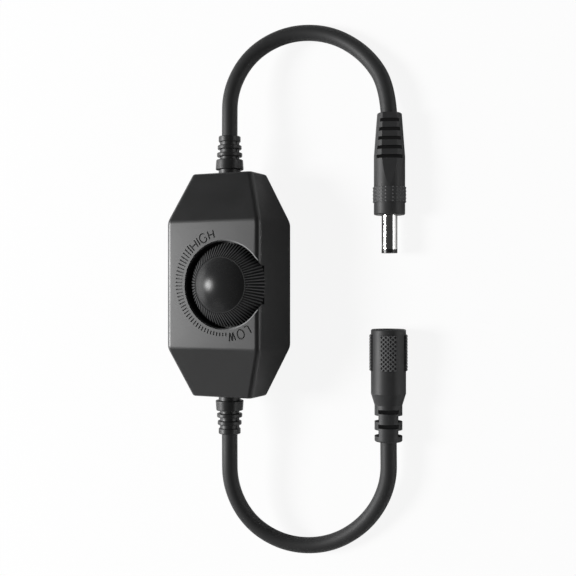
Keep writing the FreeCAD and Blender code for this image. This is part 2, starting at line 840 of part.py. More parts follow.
def pot_nut():
    nut = doc.addObject("Part::Prism", "nut")
    nut.Polygon = 6
    bind(nut, Circumradius="nut_width / sqrt(3)", Height="nut_height")
    seat = f"{RECESS_FLOOR} + washer_thickness"
    place(nut, KNOB_X, "0", seat)
    hole = rod(KNOB_X, "0", seat, "bushing_radius + running_clearance", "nut_height")
    keep("pot_nut", cut(nut, hole))


# Circuit board and what is soldered to it

WIRE_ENDS = [(side, end) for end in (1, -1) for side in (-1, 1)]


def wire_pad(side, end):
    """Where a conductor is soldered to the board."""
    return f"{side} * wire_pad_spacing / 2", f"{end} * ({BOARD_LENGTH} / 2 - wire_pad_end)"


def circuit_board():
    """A board with its corners cut away round the pillars, and holes for the pins and lugs."""
    board = brick("0", "0", BOARD_BASE, BOARD_WIDTH, BOARD_LENGTH, "board_thickness")
    tools = []
    across = f"({BOARD_WIDTH} / 2 - {PILLAR_X} + pillar_radius + board_pillar_gap)"
    along = f"({BOARD_LENGTH} / 2 - {BOARD_CUT_Y})"
    for side, end in CORNERS:
        tools.append(brick(f"{side} * ({BOARD_WIDTH} / 2 - {across} / 2)",
                           f"{end} * ({BOARD_LENGTH} / 2 - {along} / 2)",
                           BOARD_BASE, across, along, "board_thickness"))
    for x, y in POSTS:
        tools.append(rod(x, y, BOARD_BASE, "pin_radius + pin_clearance", "board_thickness"))
    for x in LUGS:
        tools.append(rod(x, f"{LUG_Y} - lug_sheet / 2", BOARD_BASE, LUG_HOLE, "board_thickness"))
    keep("circuit_board", cut(board, *tools))


def power_transistor():
    """A flat power package: moulded body, metal tab and two leads."""
    x = f"transistor_side - {BOARD_WIDTH} / 2"
    y = "-transistor_back"
    body = brick(x, y, BOARD_TOP, "transistor_width", "transistor_length", "transistor_height")
    end = "transistor_length / 2"
    tab = brick(x, f"{y} + {end}", BOARD_TOP,
                "transistor_tab_width", "transistor_tab_length * 2", "transistor_sheet")
    leads = []
    for side in (-1, 1):
        lead = brick(f"{x} + {side} * transistor_lead_spacing / 2", f"{y} - {end}", BOARD_TOP,
                     "transistor_lead_width", "transistor_lead_length * 2", "transistor_sheet")
        leads.append(lead)
    keep("power_transistor", fuse(body, tab, *leads))


def timer_chip():
    """An eight-lead chip."""
    x = f"{BOARD_WIDTH} / 2 - timer_side"
    y = f"{BOARD_LENGTH} / 2 - timer_end"
    body = brick(x, y, f"{BOARD_TOP} + timer_lead_sheet", "timer_width", "timer_length", "timer_height")
    leads = []
    for place_along in (-1.5, -0.5, 0.5, 1.5):
        lead = brick(x, f"{y} + {place_along} * timer_lead_pitch", BOARD_TOP,
                     "timer_width + 2 * timer_lead_reach", "timer_lead_width", "timer_lead_sheet")
        leads.append(lead)
    keep("timer_chip", fuse(body, *leads))


def flyback_diode():
    y = f"{BOARD_LENGTH} / 2 - diode_end"
    body = brick("0", y, BOARD_TOP, "diode_length", "diode_width", "diode_height")
    leads = brick("0", y, BOARD_TOP, "diode_length + 2 * diode_lead_reach", "diode_lead_width",
                  "diode_lead_sheet")
    keep("flyback_diode", fuse(body, leads))


def electrolytic_capacitor():
    """A can with the crimp groove round its foot."""
    x = f"capacitor_side - {BOARD_WIDTH} / 2"
    y = f"{POST_Y} - capacitor_front"
    can = rod(x, y, BOARD_TOP, "capacitor_radius", "capacitor_height")
    ring = doc.addObject("Part::Torus", "crimp")
    bind(ring, Radius1="capacitor_radius", Radius2="capacitor_groove")
    place(ring, x, y, f"{BOARD_TOP} + capacitor_groove_height")
    keep("electrolytic_capacitor", cut(can, ring))


def chips(label, height, steps):
    """Small chip components in a column along the board's edge."""
    x = f"{BOARD_WIDTH} / 2 - chip_side"
    pieces = [
        brick(x, f"{step} * chip_pitch", BOARD_TOP, "chip_length", "chip_width", height) for step in steps
    ]
    keep(label, group(pieces))


def solder_joints():
    """Cones of solder round the four conductors on top of the board and the three lugs below it."""
    joints = []
    for side, end in WIRE_ENDS:
        x, y = wire_pad(side, end)
        hole = "wire_radius + lead_clearance"
        cone = taper(x, y, BOARD_TOP, f"{hole} + solder_wall", f"{hole} + solder_edge", "solder_height")
        joints.append(cut(cone, rod(x, y, BOARD_TOP, hole, "solder_height")))
    for x in LUGS:
        y = f"{LUG_Y} - lug_sheet / 2"
        base = f"{BOARD_BASE} - solder_height"
        cone = taper(x, y, base, f"{LUG_HOLE} + solder_edge", f"{LUG_HOLE} + solder_wall", "solder_height")
        joints.append(cut(cone, rod(x, y, base, LUG_HOLE, "solder_height")))
    keep("solder_joints", group(joints))


# Cords and conductors

BEND_SHARE = 0.45  # how much of its shorter run a bend takes up
WIRE_SPACING = "(2 * wire_radius + wire_gap)"

def tube(label, points, radius):
    """A round tube along straight runs joined by tangent arcs, each as large as its runs allow."""
    points = [Vector(*point) for point in points]
    edges = []
    radii = []
    start = points[0]
    for before, corner, after in zip(points, points[1:], points[2:]):
        into = (corner - before).normalize()
        onward = (after - corner).normalize()
        reach = BEND_SHARE * min((corner - before).Length, (after - corner).Length)
        half_turn = into.getAngle(onward) / 2
        bend = reach / math.tan(half_turn)
        inward = (onward - into).normalize()
        first = corner - into * reach
        last = corner + onward * reach
        middle = corner + inward * bend * (1 / math.cos(half_turn) - 1)
        edges.append(Part.LineSegment(start, first).toShape())
        edges.append(Part.Arc(first, middle, last).toShape())
        radii.append(round(bend, 1))
        start = last
    edges.append(Part.LineSegment(start, points[-1]).toShape())
    path = Part.Wire(edges)
    section = Part.Wire(Part.makeCircle(radius, points[0], points[1] - points[0]))
    shape = path.makePipeShell([section], True, True)
    expected = math.pi * radius ** 2 * path.Length
    print(label, "length", round(path.Length, 1), "bend radii", radii,
          "volume share", round(shape.Volume / expected, 4))
    item = doc.addObject("Part::Feature", label)
    item.Shape = shape
    item.Placement = FreeCAD.Placement()
    keep(label, item)


def cords():
    for label, route in (("output_cord", OUTPUT_ROUTE), ("input_cord", INPUT_ROUTE)):
        tube(label, route, value("cord_diameter / 2"))


def wires():
    """Two conductors at each end, from the end of the cord's jacket to their pads on the board."""
    jacket_end = value(BOOT_END) - value("cord_in_boot")
    for side, end in WIRE_ENDS:
        x = side * value(f"{WIRE_SPACING} / 2")
        pad_x, pad_y = (value(text) for text in wire_pad(side, end))
        height = value(MIDDLE)
        points = [
            (x, end * jacket_end, height),
            (x, end * value("housing_length / 2 - end_wall - wire_bend_run"), height),
            (pad_x, pad_y, height),
            (pad_x, pad_y, value(BOARD_TOP)),
        ]
        name = "output" if end > 0 else "input"
        colour = "red" if side > 0 else "black"
        tube(f"{name}_{colour}_wire", points, value("wire_radius"))


# Boots

RIB_NECK = f"({CORD_BORE} + boot_skin)"
COLLAR_TOP = "boot_neck_length + collar_length"
INNER_RIB = f"{COLLAR_TOP} + first_gap"
OUTER_RIB = f"{INNER_RIB} + rib_length + rib_gap"
BOOT_TIP = f"{OUTER_RIB} + rib_length + rib_gap"
BOOT_LENGTH = f"{BOOT_TIP} + tip_length"
BOOT_END = f"housing_length / 2 + {BOOT_LENGTH}"


def boot(label, end):
    """A ribbed strain relief, held in the casing's end wall between its flange and its collar."""
    wall_inside = "-(end_wall + boot_wall_clearance)"
    flange = f"{wall_inside} - boot_flange_thickness"
    flange_radius = f"{INNER['end_half_depth']} - boot_flange_gap"
    profile = [("0", flange), (flange_radius, flange), (flange_radius, wall_inside)]
    profile += [("boot_neck_radius", wall_inside), ("boot_neck_radius", "boot_neck_length")]
    profile += [(f"{RIB_NECK} + collar_rise", "boot_neck_length")]
    profile += [(f"{RIB_NECK} + collar_outer_rise", COLLAR_TOP)]
    low = COLLAR_TOP
    for base, rise, length in (
        (INNER_RIB, "inner_rib_rise", "rib_length"),
        (OUTER_RIB, "outer_rib_rise", "rib_length"),
        (BOOT_TIP, "tip_rise", "tip_length"),
    ):
        top = f"{base} + {length}"
        radius = f"{RIB_NECK} + {rise}"
        profile += [(RIB_NECK, low), (RIB_NECK, base), (radius, base), (radius, top)]
        low = top
    profile.append(("0", BOOT_LENGTH))
    body = turned(label, profile)
    collar = value("boot_neck_length")

    def is_rim(edge):
        """Whether an edge is the outer rim of a rib or of the collar."""
        circle = edge.Curve
        if not isinstance(circle, Part.Circle) or circle.Center.z < collar - TOUCH:
            return False
        if circle.Center.z < collar + TOUCH:
            return circle.Radius > value("boot_neck_radius") + TOUCH
        return circle.Radius > value(RIB_NECK) + TOUCH

    round_edges(body, body.Tip, "boot_edge_radius", is_rim)
    reach = f"{RIB_NECK} + tip_rise - boot_web_setback"
    web = attach(body, "XZ_Plane")
    draw(web, rectangle(f"-({reach})", reach, COLLAR_TOP, f"{BOOT_TIP} + tip_length / 2"))
    feature(body, "Pad", web, "boot_web_width", both_ways=True)
    bore = attach(body, "XY_Plane", lift=f"{BOOT_LENGTH} - cord_in_boot")
    feature(body, "Pocket", draw_circle(bore, "0", "0", CORD_BORE), reverse=True)
    passage = attach(body, "XY_Plane", lift=flange)
    draw_circle(passage, "0", "0", f"{WIRE_SPACING} / 2 + wire_radius + wire_passage_gap")
    feature(body, "Pocket", passage, reverse=True)
    turn = FreeCAD.Rotation(Vector(1, 0, 0), -90 * end)
    place(body, "0", f"{end} * housing_length / 2", MIDDLE, turn)
    keep(label, body)


# Connectors: each is drawn about its own Z, which then points along -Y, with its marked side up

PLUG_HEIGHT = "plug_radius + grip_rise + floor_gap"
JACK_HEIGHT = "jack_radius + pad_rise + floor_gap"
BARREL_BORE = "(barrel_radius - barrel_sheet)"
BARREL_ROOT_RADIUS = "barrel_radius - barrel_root_step"
CONTACT_SLEEVE = "(contact_radius + contact_sheet)"
SOCKET_RADIUS = "(barrel_radius + socket_clearance)"
INSERT_RADIUS = f"({SOCKET_RADIUS} + insert_wall)"
JACK_PIN_RADIUS = "(contact_radius - jack_pin_fit)"
JACK_PIN_ROOT_RADIUS = f"{JACK_PIN_RADIUS} + jack_pin_root_step"
LYING = FreeCAD.Rotation(Vector(1, 0, 0), 90)


def lay(item, x, y, z, along="0"):
    """Lay a connector's piece on the floor, rolled about its axis towards +X."""
    roll = FreeCAD.Rotation(UP, -value("connector_roll"))
    return place(item, x, f"{y} - ({along})", z, LYING.multiply(roll))


def opposite(points):
    """The same loop on the other side of the axis."""
    return [(f"-({point[0]})", point[1]) for point in reversed(points)]


def plug_overmold():
    """A moulded grip: a slotted tapering tail, two flats that run out, and a raised band."""
    grip_end = "grip_start + grip_length"
    grip = "plug_radius + grip_rise"
    body = turned("plug_overmold", [
        ("0", "0"),
        (f"{CORD_BORE} + plug_tail_wall", "0"),
        ("plug_radius", "plug_taper_length"),
        ("plug_radius", "grip_start"),
        (grip, "grip_start"),
        (grip, grip_end),
        ("plug_radius", grip_end),
        ("plug_radius", "plug_length"),
        ("0", "plug_length"),
    ])
    ends = (0.0, value("plug_length"))

    def is_end(edge):
        circle = edge.Curve
        return isinstance(circle, Part.Circle) and any(abs(circle.Center.z - end) < TOUCH for end in ends)

    round_edges(body, body.Tip, "plug_edge_radius", is_end)
    outside = "plug_radius * 2"
    flat = [(f"{CORD_BORE} + plug_flat_skin", "0"), (outside, "0"), (outside, "plug_flat_length"),
            ("plug_radius", "plug_flat_length")]
    sketch = attach(body, "YZ_Plane")
    draw(sketch, flat)
    draw(sketch, opposite(flat))
    feature(body, "Pocket", sketch, both_ways=True)
    sketch = attach(body, "YZ_Plane")
    for number in range(int(value("plug_slot_count"))):
        low = f"plug_slot_first + {number} * plug_slot_pitch"
        slot = rectangle(f"{CORD_BORE} + plug_core_skin", outside, low, f"{low} + plug_slot_width")
        draw(sketch, slot)
        draw(sketch, opposite(slot))
    feature(body, "Pocket", sketch, both_ways=True)
    bore = draw_circle(attach(body, "XY_Plane"), "0", "0", CORD_BORE)
    feature(body, "Pocket", bore, "cord_in_plug", reverse=True)
    seat = attach(body, "XY_Plane", lift="plug_length")
    feature(body, "Pocket", draw_circle(seat, "0", "0", BARREL_ROOT_RADIUS), "barrel_root")
    keep("plug_overmold", lay(body, "plug_x", "plug_y", PLUG_HEIGHT))


BARREL_START = "plug_length - barrel_root"
BARREL_LENGTH = "barrel_root + barrel_length"


def plug_metal():
    """The barrel on its slimmer root, the insulator inside it with its end ring, and the inner sleeve."""
    root = rod("0", "0", BARREL_START, BARREL_ROOT_RADIUS, "barrel_root")
    outside = rod("0", "0", "plug_length", "barrel_radius", "barrel_length")
    barrel = cut(fuse(root, outside), rod("0", "0", BARREL_START, BARREL_BORE, BARREL_LENGTH))
    filling = rod("0", "0", BARREL_START, BARREL_BORE, BARREL_LENGTH)
    ring = rod("0", "0", "plug_length + barrel_length", "barrel_radius - tip_ring_step", "tip_ring_length")
    insulator = cut(fuse(filling, ring),
                    rod("0", "0", BARREL_START, CONTACT_SLEEVE, f"{BARREL_LENGTH} + tip_ring_length"))
    contact = cut(rod("0", "0", BARREL_START, CONTACT_SLEEVE, BARREL_LENGTH),
                  rod("0", "0", "plug_length", "contact_radius", "barrel_length"))
    for label, item in (("plug_barrel", barrel), ("plug_insulator", insulator),
                        ("plug_inner_contact", contact)):
        keep(label, lay(item, "plug_x", "plug_y", PLUG_HEIGHT))


JACK_CONE = "jack_body_length"
JACK_TAIL = f"{JACK_CONE} + jack_cone_length"
JACK_LENGTH = f"{JACK_TAIL} + jack_tail_length"


def jack_overmold():
    """A moulded body with four raised grip pads, a cone and a slotted tail."""
    body = turned("jack_overmold", [
        ("0", "0"),
        ("jack_radius", "0"),
        ("jack_radius", JACK_CONE),
        (f"{CORD_BORE} + jack_tail_wall", JACK_TAIL),
        (f"{CORD_BORE} + jack_tail_wall", JACK_LENGTH),
        ("0", JACK_LENGTH),
    ])
    ends = (0.0, value(JACK_LENGTH))

    def is_end(edge):
        circle = edge.Curve
        return isinstance(circle, Part.Circle) and any(abs(circle.Center.z - end) < TOUCH for end in ends)

    round_edges(body, body.Tip, "jack_edge_radius", is_end)
    section = rectangle("jack_radius - pad_sink", "jack_radius + pad_rise",
                        "pad_start", "pad_start + pad_length")
    raised = revolve(body, draw(attach(body, "XZ_Plane"), section), "pad_angle")
    axis = next(item for item in body.Origin.OriginFeatures if item.Role == "Z_Axis")
    repeat(body, raised, (axis, [""]), "pad_count", "360")
    outside = "jack_radius * 2"
    for role, kind in (("YZ_Plane", "tail_slot"), ("XZ_Plane", "tail_side_slot")):
        sketch = attach(body, role)
        for number in range(int(value("tail_slot_count"))):
            low = f"{JACK_TAIL} + {kind}_first + {number} * tail_slot_pitch"
            slot = rectangle(f"{CORD_BORE} + tail_core_skin", outside, low, f"{low} + {kind}_width")
            draw(sketch, slot)
            draw(sketch, opposite(slot))
        feature(body, "Pocket", sketch, both_ways=True)
    seat = draw_circle(attach(body, "XY_Plane"), "0", "0", INSERT_RADIUS)
    feature(body, "Pocket", seat, "insert_setback + insert_length", reverse=True)
    bore = attach(body, "XY_Plane", lift=JACK_LENGTH)
    draw_circle(bore, "0", "0", CORD_BORE)
    feature(body, "Pocket", bore, "cord_in_jack")
    keep("jack_overmold", lay(body, "jack_x", "jack_y", JACK_HEIGHT))


def jack_inside():
    """The socket's insert, its centre pin and the spring that presses on the plug's barrel."""
    floor = "insert_setback + socket_depth"
    groove_length = "spring_length + spring_setback"
    groove = brick("0", SOCKET_RADIUS, "insert_setback", "spring_width", "spring_sheet * 2",
                   groove_length)
    insert = cut(rod("0", "0", "insert_setback", INSERT_RADIUS, "insert_length"),
                 rod("0", "0", "insert_setback", SOCKET_RADIUS, "socket_depth"), groove,
                 rod("0", "0", floor, JACK_PIN_ROOT_RADIUS, "insert_length - socket_depth"))
    shoulder = "jack_pin_setback + jack_pin_taper"
    pin = fuse(rod("0", "0", floor, JACK_PIN_ROOT_RADIUS, "insert_length - socket_depth"),
               rod("0", "0", shoulder, JACK_PIN_RADIUS, f"{floor} - ({shoulder})"),
               taper("0", "0", "jack_pin_setback", "jack_pin_tip_radius", JACK_PIN_RADIUS,
                     "jack_pin_taper"))
    start = "insert_setback + spring_setback"
    middle = f"{SOCKET_RADIUS} + spring_sheet / 2"
    leaf = brick("0", middle, start, "spring_width", "spring_sheet", "spring_length")
    bump = brick("0", f"{middle} - spring_bump", f"{start} + (spring_length - spring_bump_length) / 2",
                 "spring_width", "spring_sheet", "spring_bump_length")
    for label, item in (("jack_insert", insert), ("jack_pin", pin), ("jack_spring", fuse(leaf, bump))):
        keep(label, lay(item, "jack_x", "jack_y", JACK_HEIGHT))


front_housing()
rear_housing()
housing_screws()
dimmer_knob()
pot_shaft()
pot_rotor()
pot_wiper()
pot_wafer()
pot_terminals()
pot_cover()
pot_bushing()
pot_washer()
pot_nut()
circuit_board()
power_transistor()
timer_chip()
flyback_diode()
electrolytic_capacitor()
chips("chip_resistors", "resistor_height", (2.5, 1.5, 0.5, -0.5))
chips("chip_capacitors", "chip_capacitor_height", (-1.5, -2.5))
solder_joints()
wires()
boot("output_boot", 1)
boot("input_boot", -1)
cords()
plug_overmold()
plug_metal()
jack_overmold()
jack_inside()
doc.recompute()

failed = [item.Label for item in doc.Objects if {"Invalid", "Error"} & set(item.State)]
if failed:
    raise RuntimeError(f"failed objects: {failed}")
for label, item in parts.items():
    if item.Shape.isNull() or not item.Shape.isValid() or not item.Shape.Solids:
        raise RuntimeError(f"bad shape: {label}")

os.makedirs("parts", exist_ok=True)
for label, item in parts.items():
    item.Shape.exportStep(f"parts/{label}.step")
    print(label, len(item.Shape.Solids), round(item.Shape.Volume, 2))
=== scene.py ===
# %% [markdown]
# # A rotary cord dimmer, dressed for its photograph
#
# The dimmer lies on its back on a white table: a black faceted casing with a ridged knob, a ribbed
# boot at each end, and two short cords that curl round to a barrel plug and a barrel jack. All the
# hard pieces arrive as a fixed frame, already at their real size. This lesson adds the camera, the
# cords, the fine surface details, the finishes and the light.

import math

import bmesh
import bpy
import numpy as np
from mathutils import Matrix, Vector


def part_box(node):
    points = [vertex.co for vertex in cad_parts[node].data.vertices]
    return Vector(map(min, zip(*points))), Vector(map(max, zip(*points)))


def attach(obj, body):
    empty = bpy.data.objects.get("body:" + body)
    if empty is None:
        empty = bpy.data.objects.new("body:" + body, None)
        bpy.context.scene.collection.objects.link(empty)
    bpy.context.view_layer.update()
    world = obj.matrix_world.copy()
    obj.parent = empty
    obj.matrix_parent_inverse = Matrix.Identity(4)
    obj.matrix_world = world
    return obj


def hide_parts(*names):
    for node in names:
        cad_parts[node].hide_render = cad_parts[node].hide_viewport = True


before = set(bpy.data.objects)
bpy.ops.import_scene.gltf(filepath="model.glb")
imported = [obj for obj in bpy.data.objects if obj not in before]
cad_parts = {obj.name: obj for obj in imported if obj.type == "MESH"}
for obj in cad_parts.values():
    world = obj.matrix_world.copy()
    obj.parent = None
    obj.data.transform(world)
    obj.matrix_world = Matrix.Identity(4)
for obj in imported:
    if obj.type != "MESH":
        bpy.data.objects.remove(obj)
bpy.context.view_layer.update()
MM = 0.001

# %% [markdown]
# ## Camera
#
# The photograph looks down on the dimmer from its right-hand side, about 25 degrees off straight
# down. A camera could be aimed with a tracking constraint. Here one turn about the Y axis is enough,
# because the picture's vertical runs along the casing, and a plain turn is easy to check.


# %% Camera
def add_object(name, data):
    """Puts a camera, a lamp, a curve or a mesh into the scene as an object at the origin."""
    made = bpy.data.objects.new(name, data)
    bpy.context.scene.collection.objects.link(made)
    return made


IMAGE_SIDE = 576
FOCAL_PIXELS = 959.5
SENSOR = 36.0
VIEW_TILT = math.radians(24.71)
VIEW_DISTANCE = 340.0
VIEW_TARGET = np.array([23.4, -1.08, 13.5])
VIEW_BACK = np.array([math.sin(VIEW_TILT), 0.0, math.cos(VIEW_TILT)])

camera_data = bpy.data.cameras.new("photo_camera")
camera_data.sensor_width = SENSOR
camera_data.lens = FOCAL_PIXELS / IMAGE_SIDE * SENSOR
camera_data.clip_start = 0.01
camera_data.clip_end = 20.0
camera = add_object("photo_camera", camera_data)
camera.location = (VIEW_TARGET + VIEW_DISTANCE * VIEW_BACK) * MM
camera.rotation_euler = (0.0, VIEW_TILT, 0.0)
bpy.context.scene.camera = camera
print("camera lens", round(camera_data.lens, 2), "mm")

# %% [markdown]
# ## Cords
#
# Each cord leaves its boot straight, sinks to the table in a half turn and rises a little into its
# connector. A bendy cord has no corners, so each one is a single NURBS spline: the points of the
# route pull on the curve without it having to pass through them, which is how a stiff round cord
# eases from one direction to the next. A bevel gives the line its round section.

# %% Cord routes and a helper that draws one
CORD_DIAMETER = 5.7
OUTPUT_ROUTE = [
    (0.0, 43.1, 13.5), (0.0, 57.0, 13.5), (-0.4, 71.5, 12.5), (6.3, 84.6, 9.2), (19.4, 91.7, 5.4),
    (35.1, 90.6, 2.9), (49.5, 81.4, 3.5), (58.5, 67.5, 5.67), (58.5, 53.4, 5.67),
]
INPUT_ROUTE = [
    (0.0, -43.1, 13.5), (0.0, -58.5, 13.5), (-0.4, -73.9, 12.5), (6.3, -87.4, 9.2), (19.4, -94.6, 5.4),
    (35.1, -93.5, 2.9), (49.4, -84.2, 3.5), (58.4, -69.9, 6.0), (58.4, -55.2, 6.47), (58.4, -43.0, 6.47),
]


def cord_line(name, route):
    """A round cord along one smooth NURBS spline whose control points are the route's points.

    The bevel is one metre deep and every point's radius scales it down to the cord's own radius.
    """
    line = bpy.data.curves.new(name, "CURVE")
    line.dimensions = "3D"
    spline = line.splines.new("NURBS")
    spline.points.add(len(route) - 1)
    weights = np.ones((len(route), 1))
    spline.points.foreach_set("co", np.hstack([np.array(route) * MM, weights]).ravel())
    spline.points.foreach_set("radius", np.full(len(route), CORD_DIAMETER / 2 * MM))
    spline.order_u = 3
    spline.use_endpoint_u = True
    spline.resolution_u = 16
    line.bevel_depth = 1.0
    line.bevel_resolution = 10
    line.use_fill_caps = True
    return add_object(name, line)


# %% Draw the two cords
output_cord = cord_line("output_cord_line", OUTPUT_ROUTE)
input_cord = cord_line("input_cord_line", INPUT_ROUTE)
for cord, solid in ((output_cord, "output_cord"), (input_cord, "input_cord")):
    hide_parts(solid)
    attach(cord, "base")
print("cords drawn with", len(OUTPUT_ROUTE), "and", len(INPUT_ROUTE), "points")

# %% [markdown]
# ## Stage
#
# A white sweep: a flat table that curves up into a wall far behind on every side. It could be one
# big plane, but a low camera would then see past its edge. The surface is a disc in polar
# coordinates whose height grows with the square of the distance beyond the flat part.


# %% Helpers for grid surfaces
def smooth(mesh):
    """Smooth shading on all faces of a mesh."""
    mesh.polygons.foreach_set("use_smooth", np.ones(len(mesh.polygons), dtype=bool))


def grid_mesh(name, points, close_across=False, close_along=False):
    """Quads over a grid of points of shape (rows, columns, 3), closed into a ring each way if asked."""
    rows, columns = points.shape[:2]
    index = np.arange(rows * columns).reshape(rows, columns)
    if close_across:
        index = np.hstack([index, index[:, :1]])
    if close_along:
        index = np.vstack([index, index[:1]])
    quads = np.stack([index[:-1, :-1], index[1:, :-1], index[1:, 1:], index[:-1, 1:]], axis=-1).reshape(-1, 4)
    mesh = bpy.data.meshes.new(name)
    mesh.from_pydata(points.reshape(-1, 3), [], quads)
    smooth(mesh)
    return mesh


# %% White sweep
FLOOR_LEVEL = -0.00005
MIDDLE_HOLE = 0.0001
FLAT_RADIUS = 1.6
SWEEP_RADIUS = 3.2
SWEEP_RISE = 0.43
SWEEP_RINGS, SWEEP_SPOKES = 60, 96

reach, around = np.meshgrid(np.linspace(MIDDLE_HOLE, SWEEP_RADIUS, SWEEP_RINGS),
                            np.linspace(0, 2 * np.pi, SWEEP_SPOKES, endpoint=False), indexing="ij")
sweep_height = FLOOR_LEVEL + SWEEP_RISE * np.maximum(reach - FLAT_RADIUS, 0) ** 2
sweep_points = np.stack([reach * np.cos(around), reach * np.sin(around), sweep_height], axis=-1)
sweep = add_object("white_sweep", grid_mesh("white_sweep", sweep_points, close_across=True))
print("sweep", len(sweep.data.polygons), "faces")

# %% [markdown]
# The table is white in the picture. A light strong enough to burn it white would flood the black
# casing, so part of the white is the table's own glow: most of what the camera and clear pieces see,
# and a small part of what reflections see. The rest is a plain matte white that takes the object's
# soft shadow, so the casing's flanks mirror a table that darkens beside them, as on a real one.

# %% Table material
TABLE_WHITE = (0.92, 0.92, 0.92, 1)
CAMERA_GLOW = 0.9
MIRROR_GLOW = 0.06


def math_node(material, operation, first, second=0.0):
    """One math node in a material; each of the two values is a socket or a number."""
    node = material.node_tree.nodes.new("ShaderNodeMath")
    node.operation = operation
    for socket, given in zip(node.inputs, (first, second)):
        if isinstance(given, float):
            socket.default_value = given
        else:
            material.node_tree.links.new(given, socket)
    return node.outputs[0]


white_table = bpy.data.materials.new("white_table")
white_table.use_nodes = True
table_nodes = white_table.node_tree.nodes
table_links = white_table.node_tree.links
table_nodes.clear()
table_matte = table_nodes.new("ShaderNodeBsdfDiffuse")
table_matte.inputs["Color"].default_value = TABLE_WHITE
table_glow = table_nodes.new("ShaderNodeEmission")
table_glow.inputs["Strength"].default_value = 1.0
seen_by = table_nodes.new("ShaderNodeLightPath")
seen_straight = math_node(white_table, "MAXIMUM", seen_by.outputs["Is Camera Ray"],
                          seen_by.outputs["Is Transmission Ray"])
straight_share = math_node(white_table, "MULTIPLY", seen_straight, CAMERA_GLOW)
mirror_share = math_node(white_table, "MULTIPLY", seen_by.outputs["Is Glossy Ray"], MIRROR_GLOW)
glow_share = math_node(white_table, "MAXIMUM", straight_share, mirror_share)
table_mix = table_nodes.new("ShaderNodeMixShader")
table_links.new(glow_share, table_mix.inputs["Fac"])
table_links.new(table_matte.outputs[0], table_mix.inputs[1])
table_links.new(table_glow.outputs[0], table_mix.inputs[2])
table_out = table_nodes.new("ShaderNodeOutputMaterial")
table_links.new(table_mix.outputs[0], table_out.inputs["Surface"])
sweep.data.materials.append(white_table)
print("table glow", CAMERA_GLOW, "for the camera and", MIRROR_GLOW, "in reflections")

# %% [markdown]
# ## Light
#
# The casing's front face shines an even grey, its slopes stay dark, and the knob's dome holds one
# small bright spot, so the main light is a compact softbox, high on the left. Wide white cards low on
# the left and on the right draw the pale lines down the connectors, and a weak one in front lifts the
# lower slope. The room itself is dim and even.


# %% Lamps
def softbox(name, direction, distance, size, power):
    """An elliptic area lamp, aimed at the frame's origin from a direction given as (x, y, z)."""
    lamp = bpy.data.lights.new(name, "AREA")
    lamp.shape = "ELLIPSE"
    lamp.size, lamp.size_y = size
    lamp.energy = power
    stand = add_object(name, lamp)
    unit = np.array(direction) / np.linalg.norm(direction)
    stand.location = unit * distance
    x, y, z = unit
    stand.rotation_euler = (math.acos(z), 0.0, math.atan2(y, x) + math.pi / 2)
    print(name, "at", tuple(round(v, 3) for v in stand.location), "with", power, "W")


softbox("main_softbox", direction=(-0.768, 0.0, 0.64), distance=2.0, size=(0.62, 0.7), power=47.0)
softbox("side_card", direction=(-0.95, 0.0, 0.25), distance=0.7, size=(0.7, 0.3), power=1.4)
softbox("front_card", direction=(-0.42, -0.73, 0.53), distance=0.8, size=(0.4, 0.4), power=0.28)
softbox("right_card", direction=(0.985, 0.0, 0.17), distance=0.7, size=(0.6, 0.16), power=0.8)

# %% Dim room
ROOM_STRENGTH = 0.04

room = bpy.data.worlds.new("dim_room")
room.use_nodes = True
room_light = room.node_tree.nodes["Background"]
room_light.inputs["Color"].default_value = (1, 1, 1, 1)
room_light.inputs["Strength"].default_value = ROOM_STRENGTH
bpy.context.scene.world = room
bpy.context.scene.view_settings.view_transform = "Standard"
print("room light", ROOM_STRENGTH)

# %% [markdown]
# ## Words on the face
#
# HIGH and LOW are engraved at the two ends of the tick scale, their tops turned outwards. They could
# be dark strips laid on the face, but engraved words catch the light on their edges, so here they
# are cut. Every stroke is a V-shaped groove: a triangle carried along a line, narrowing to a point
# at both ends. The strokes of each letter are drawn in a box that is 2 wide and 1 high.


# %% Strokes of the letters
def straight(start, end, count=12):
    """Points spread evenly from start to end."""
    share = np.linspace(0, 1, count)[:, None]
    return np.array(start) * (1 - share) + np.array(end) * share


def bow(start, end, count=40):
    """Points on the ellipse that fills the letter's box, from one angle in degrees to another."""
    turn = np.radians(np.linspace(start, end, count))
    return np.stack([np.cos(turn), 0.5 + 0.5 * np.sin(turn)], axis=-1)


LETTERS = {
    "H": [straight((-1, 0), (-1, 1)), straight((1, 0), (1, 1)), straight((-1, 0.5), (1, 0.5))],
    "I": [straight((0, 0), (0, 1))],
    "G": [bow(40, 352), straight((1, 0.48), (0.2, 0.48))],
    "L": [straight((-1, 0), (-1, 1)), straight((-1, 0), (1, 0))],
    "O": [bow(90, 480)],
    "W": [straight((-1, 1), (-0.5, 0)), straight((-0.5, 0), (0, 1)), straight((0, 1), (0.5, 0)),
          straight((0.5, 0), (1, 1))],
}
print(sum(len(strokes) for strokes in LETTERS.values()), "strokes in", len(LETTERS), "letters")

# %% [markdown]
# The letters stand on a circle about the knob's axis. A letter's width becomes an angle, clockwise,
# and its height a distance outwards, so the strokes fan out as they do on the real face.

# %% Cutters along the strokes
knob_low, knob_high = (np.array(corner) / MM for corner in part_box("dimmer_knob"))
KNOB_AXIS = (knob_low + knob_high)[:2] / 2
FACE_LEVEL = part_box("front_housing")[1][2] / MM
WORD_FOOT = 16.75
LETTER_HEIGHT = 3.3
GROOVE_WIDTH = 0.52
GROOVE_DEPTH = 0.3
GROOVE_LIFT = 0.15
WORDS = [
    ("H", 130.3, 3.5), ("I", 123.5, 1.0), ("G", 116.3, 4.2), ("H", 105.7, 3.2),
    ("L", 300.6, 3.0), ("O", 291.7, 4.1), ("W", 280.4, 3.9),
]


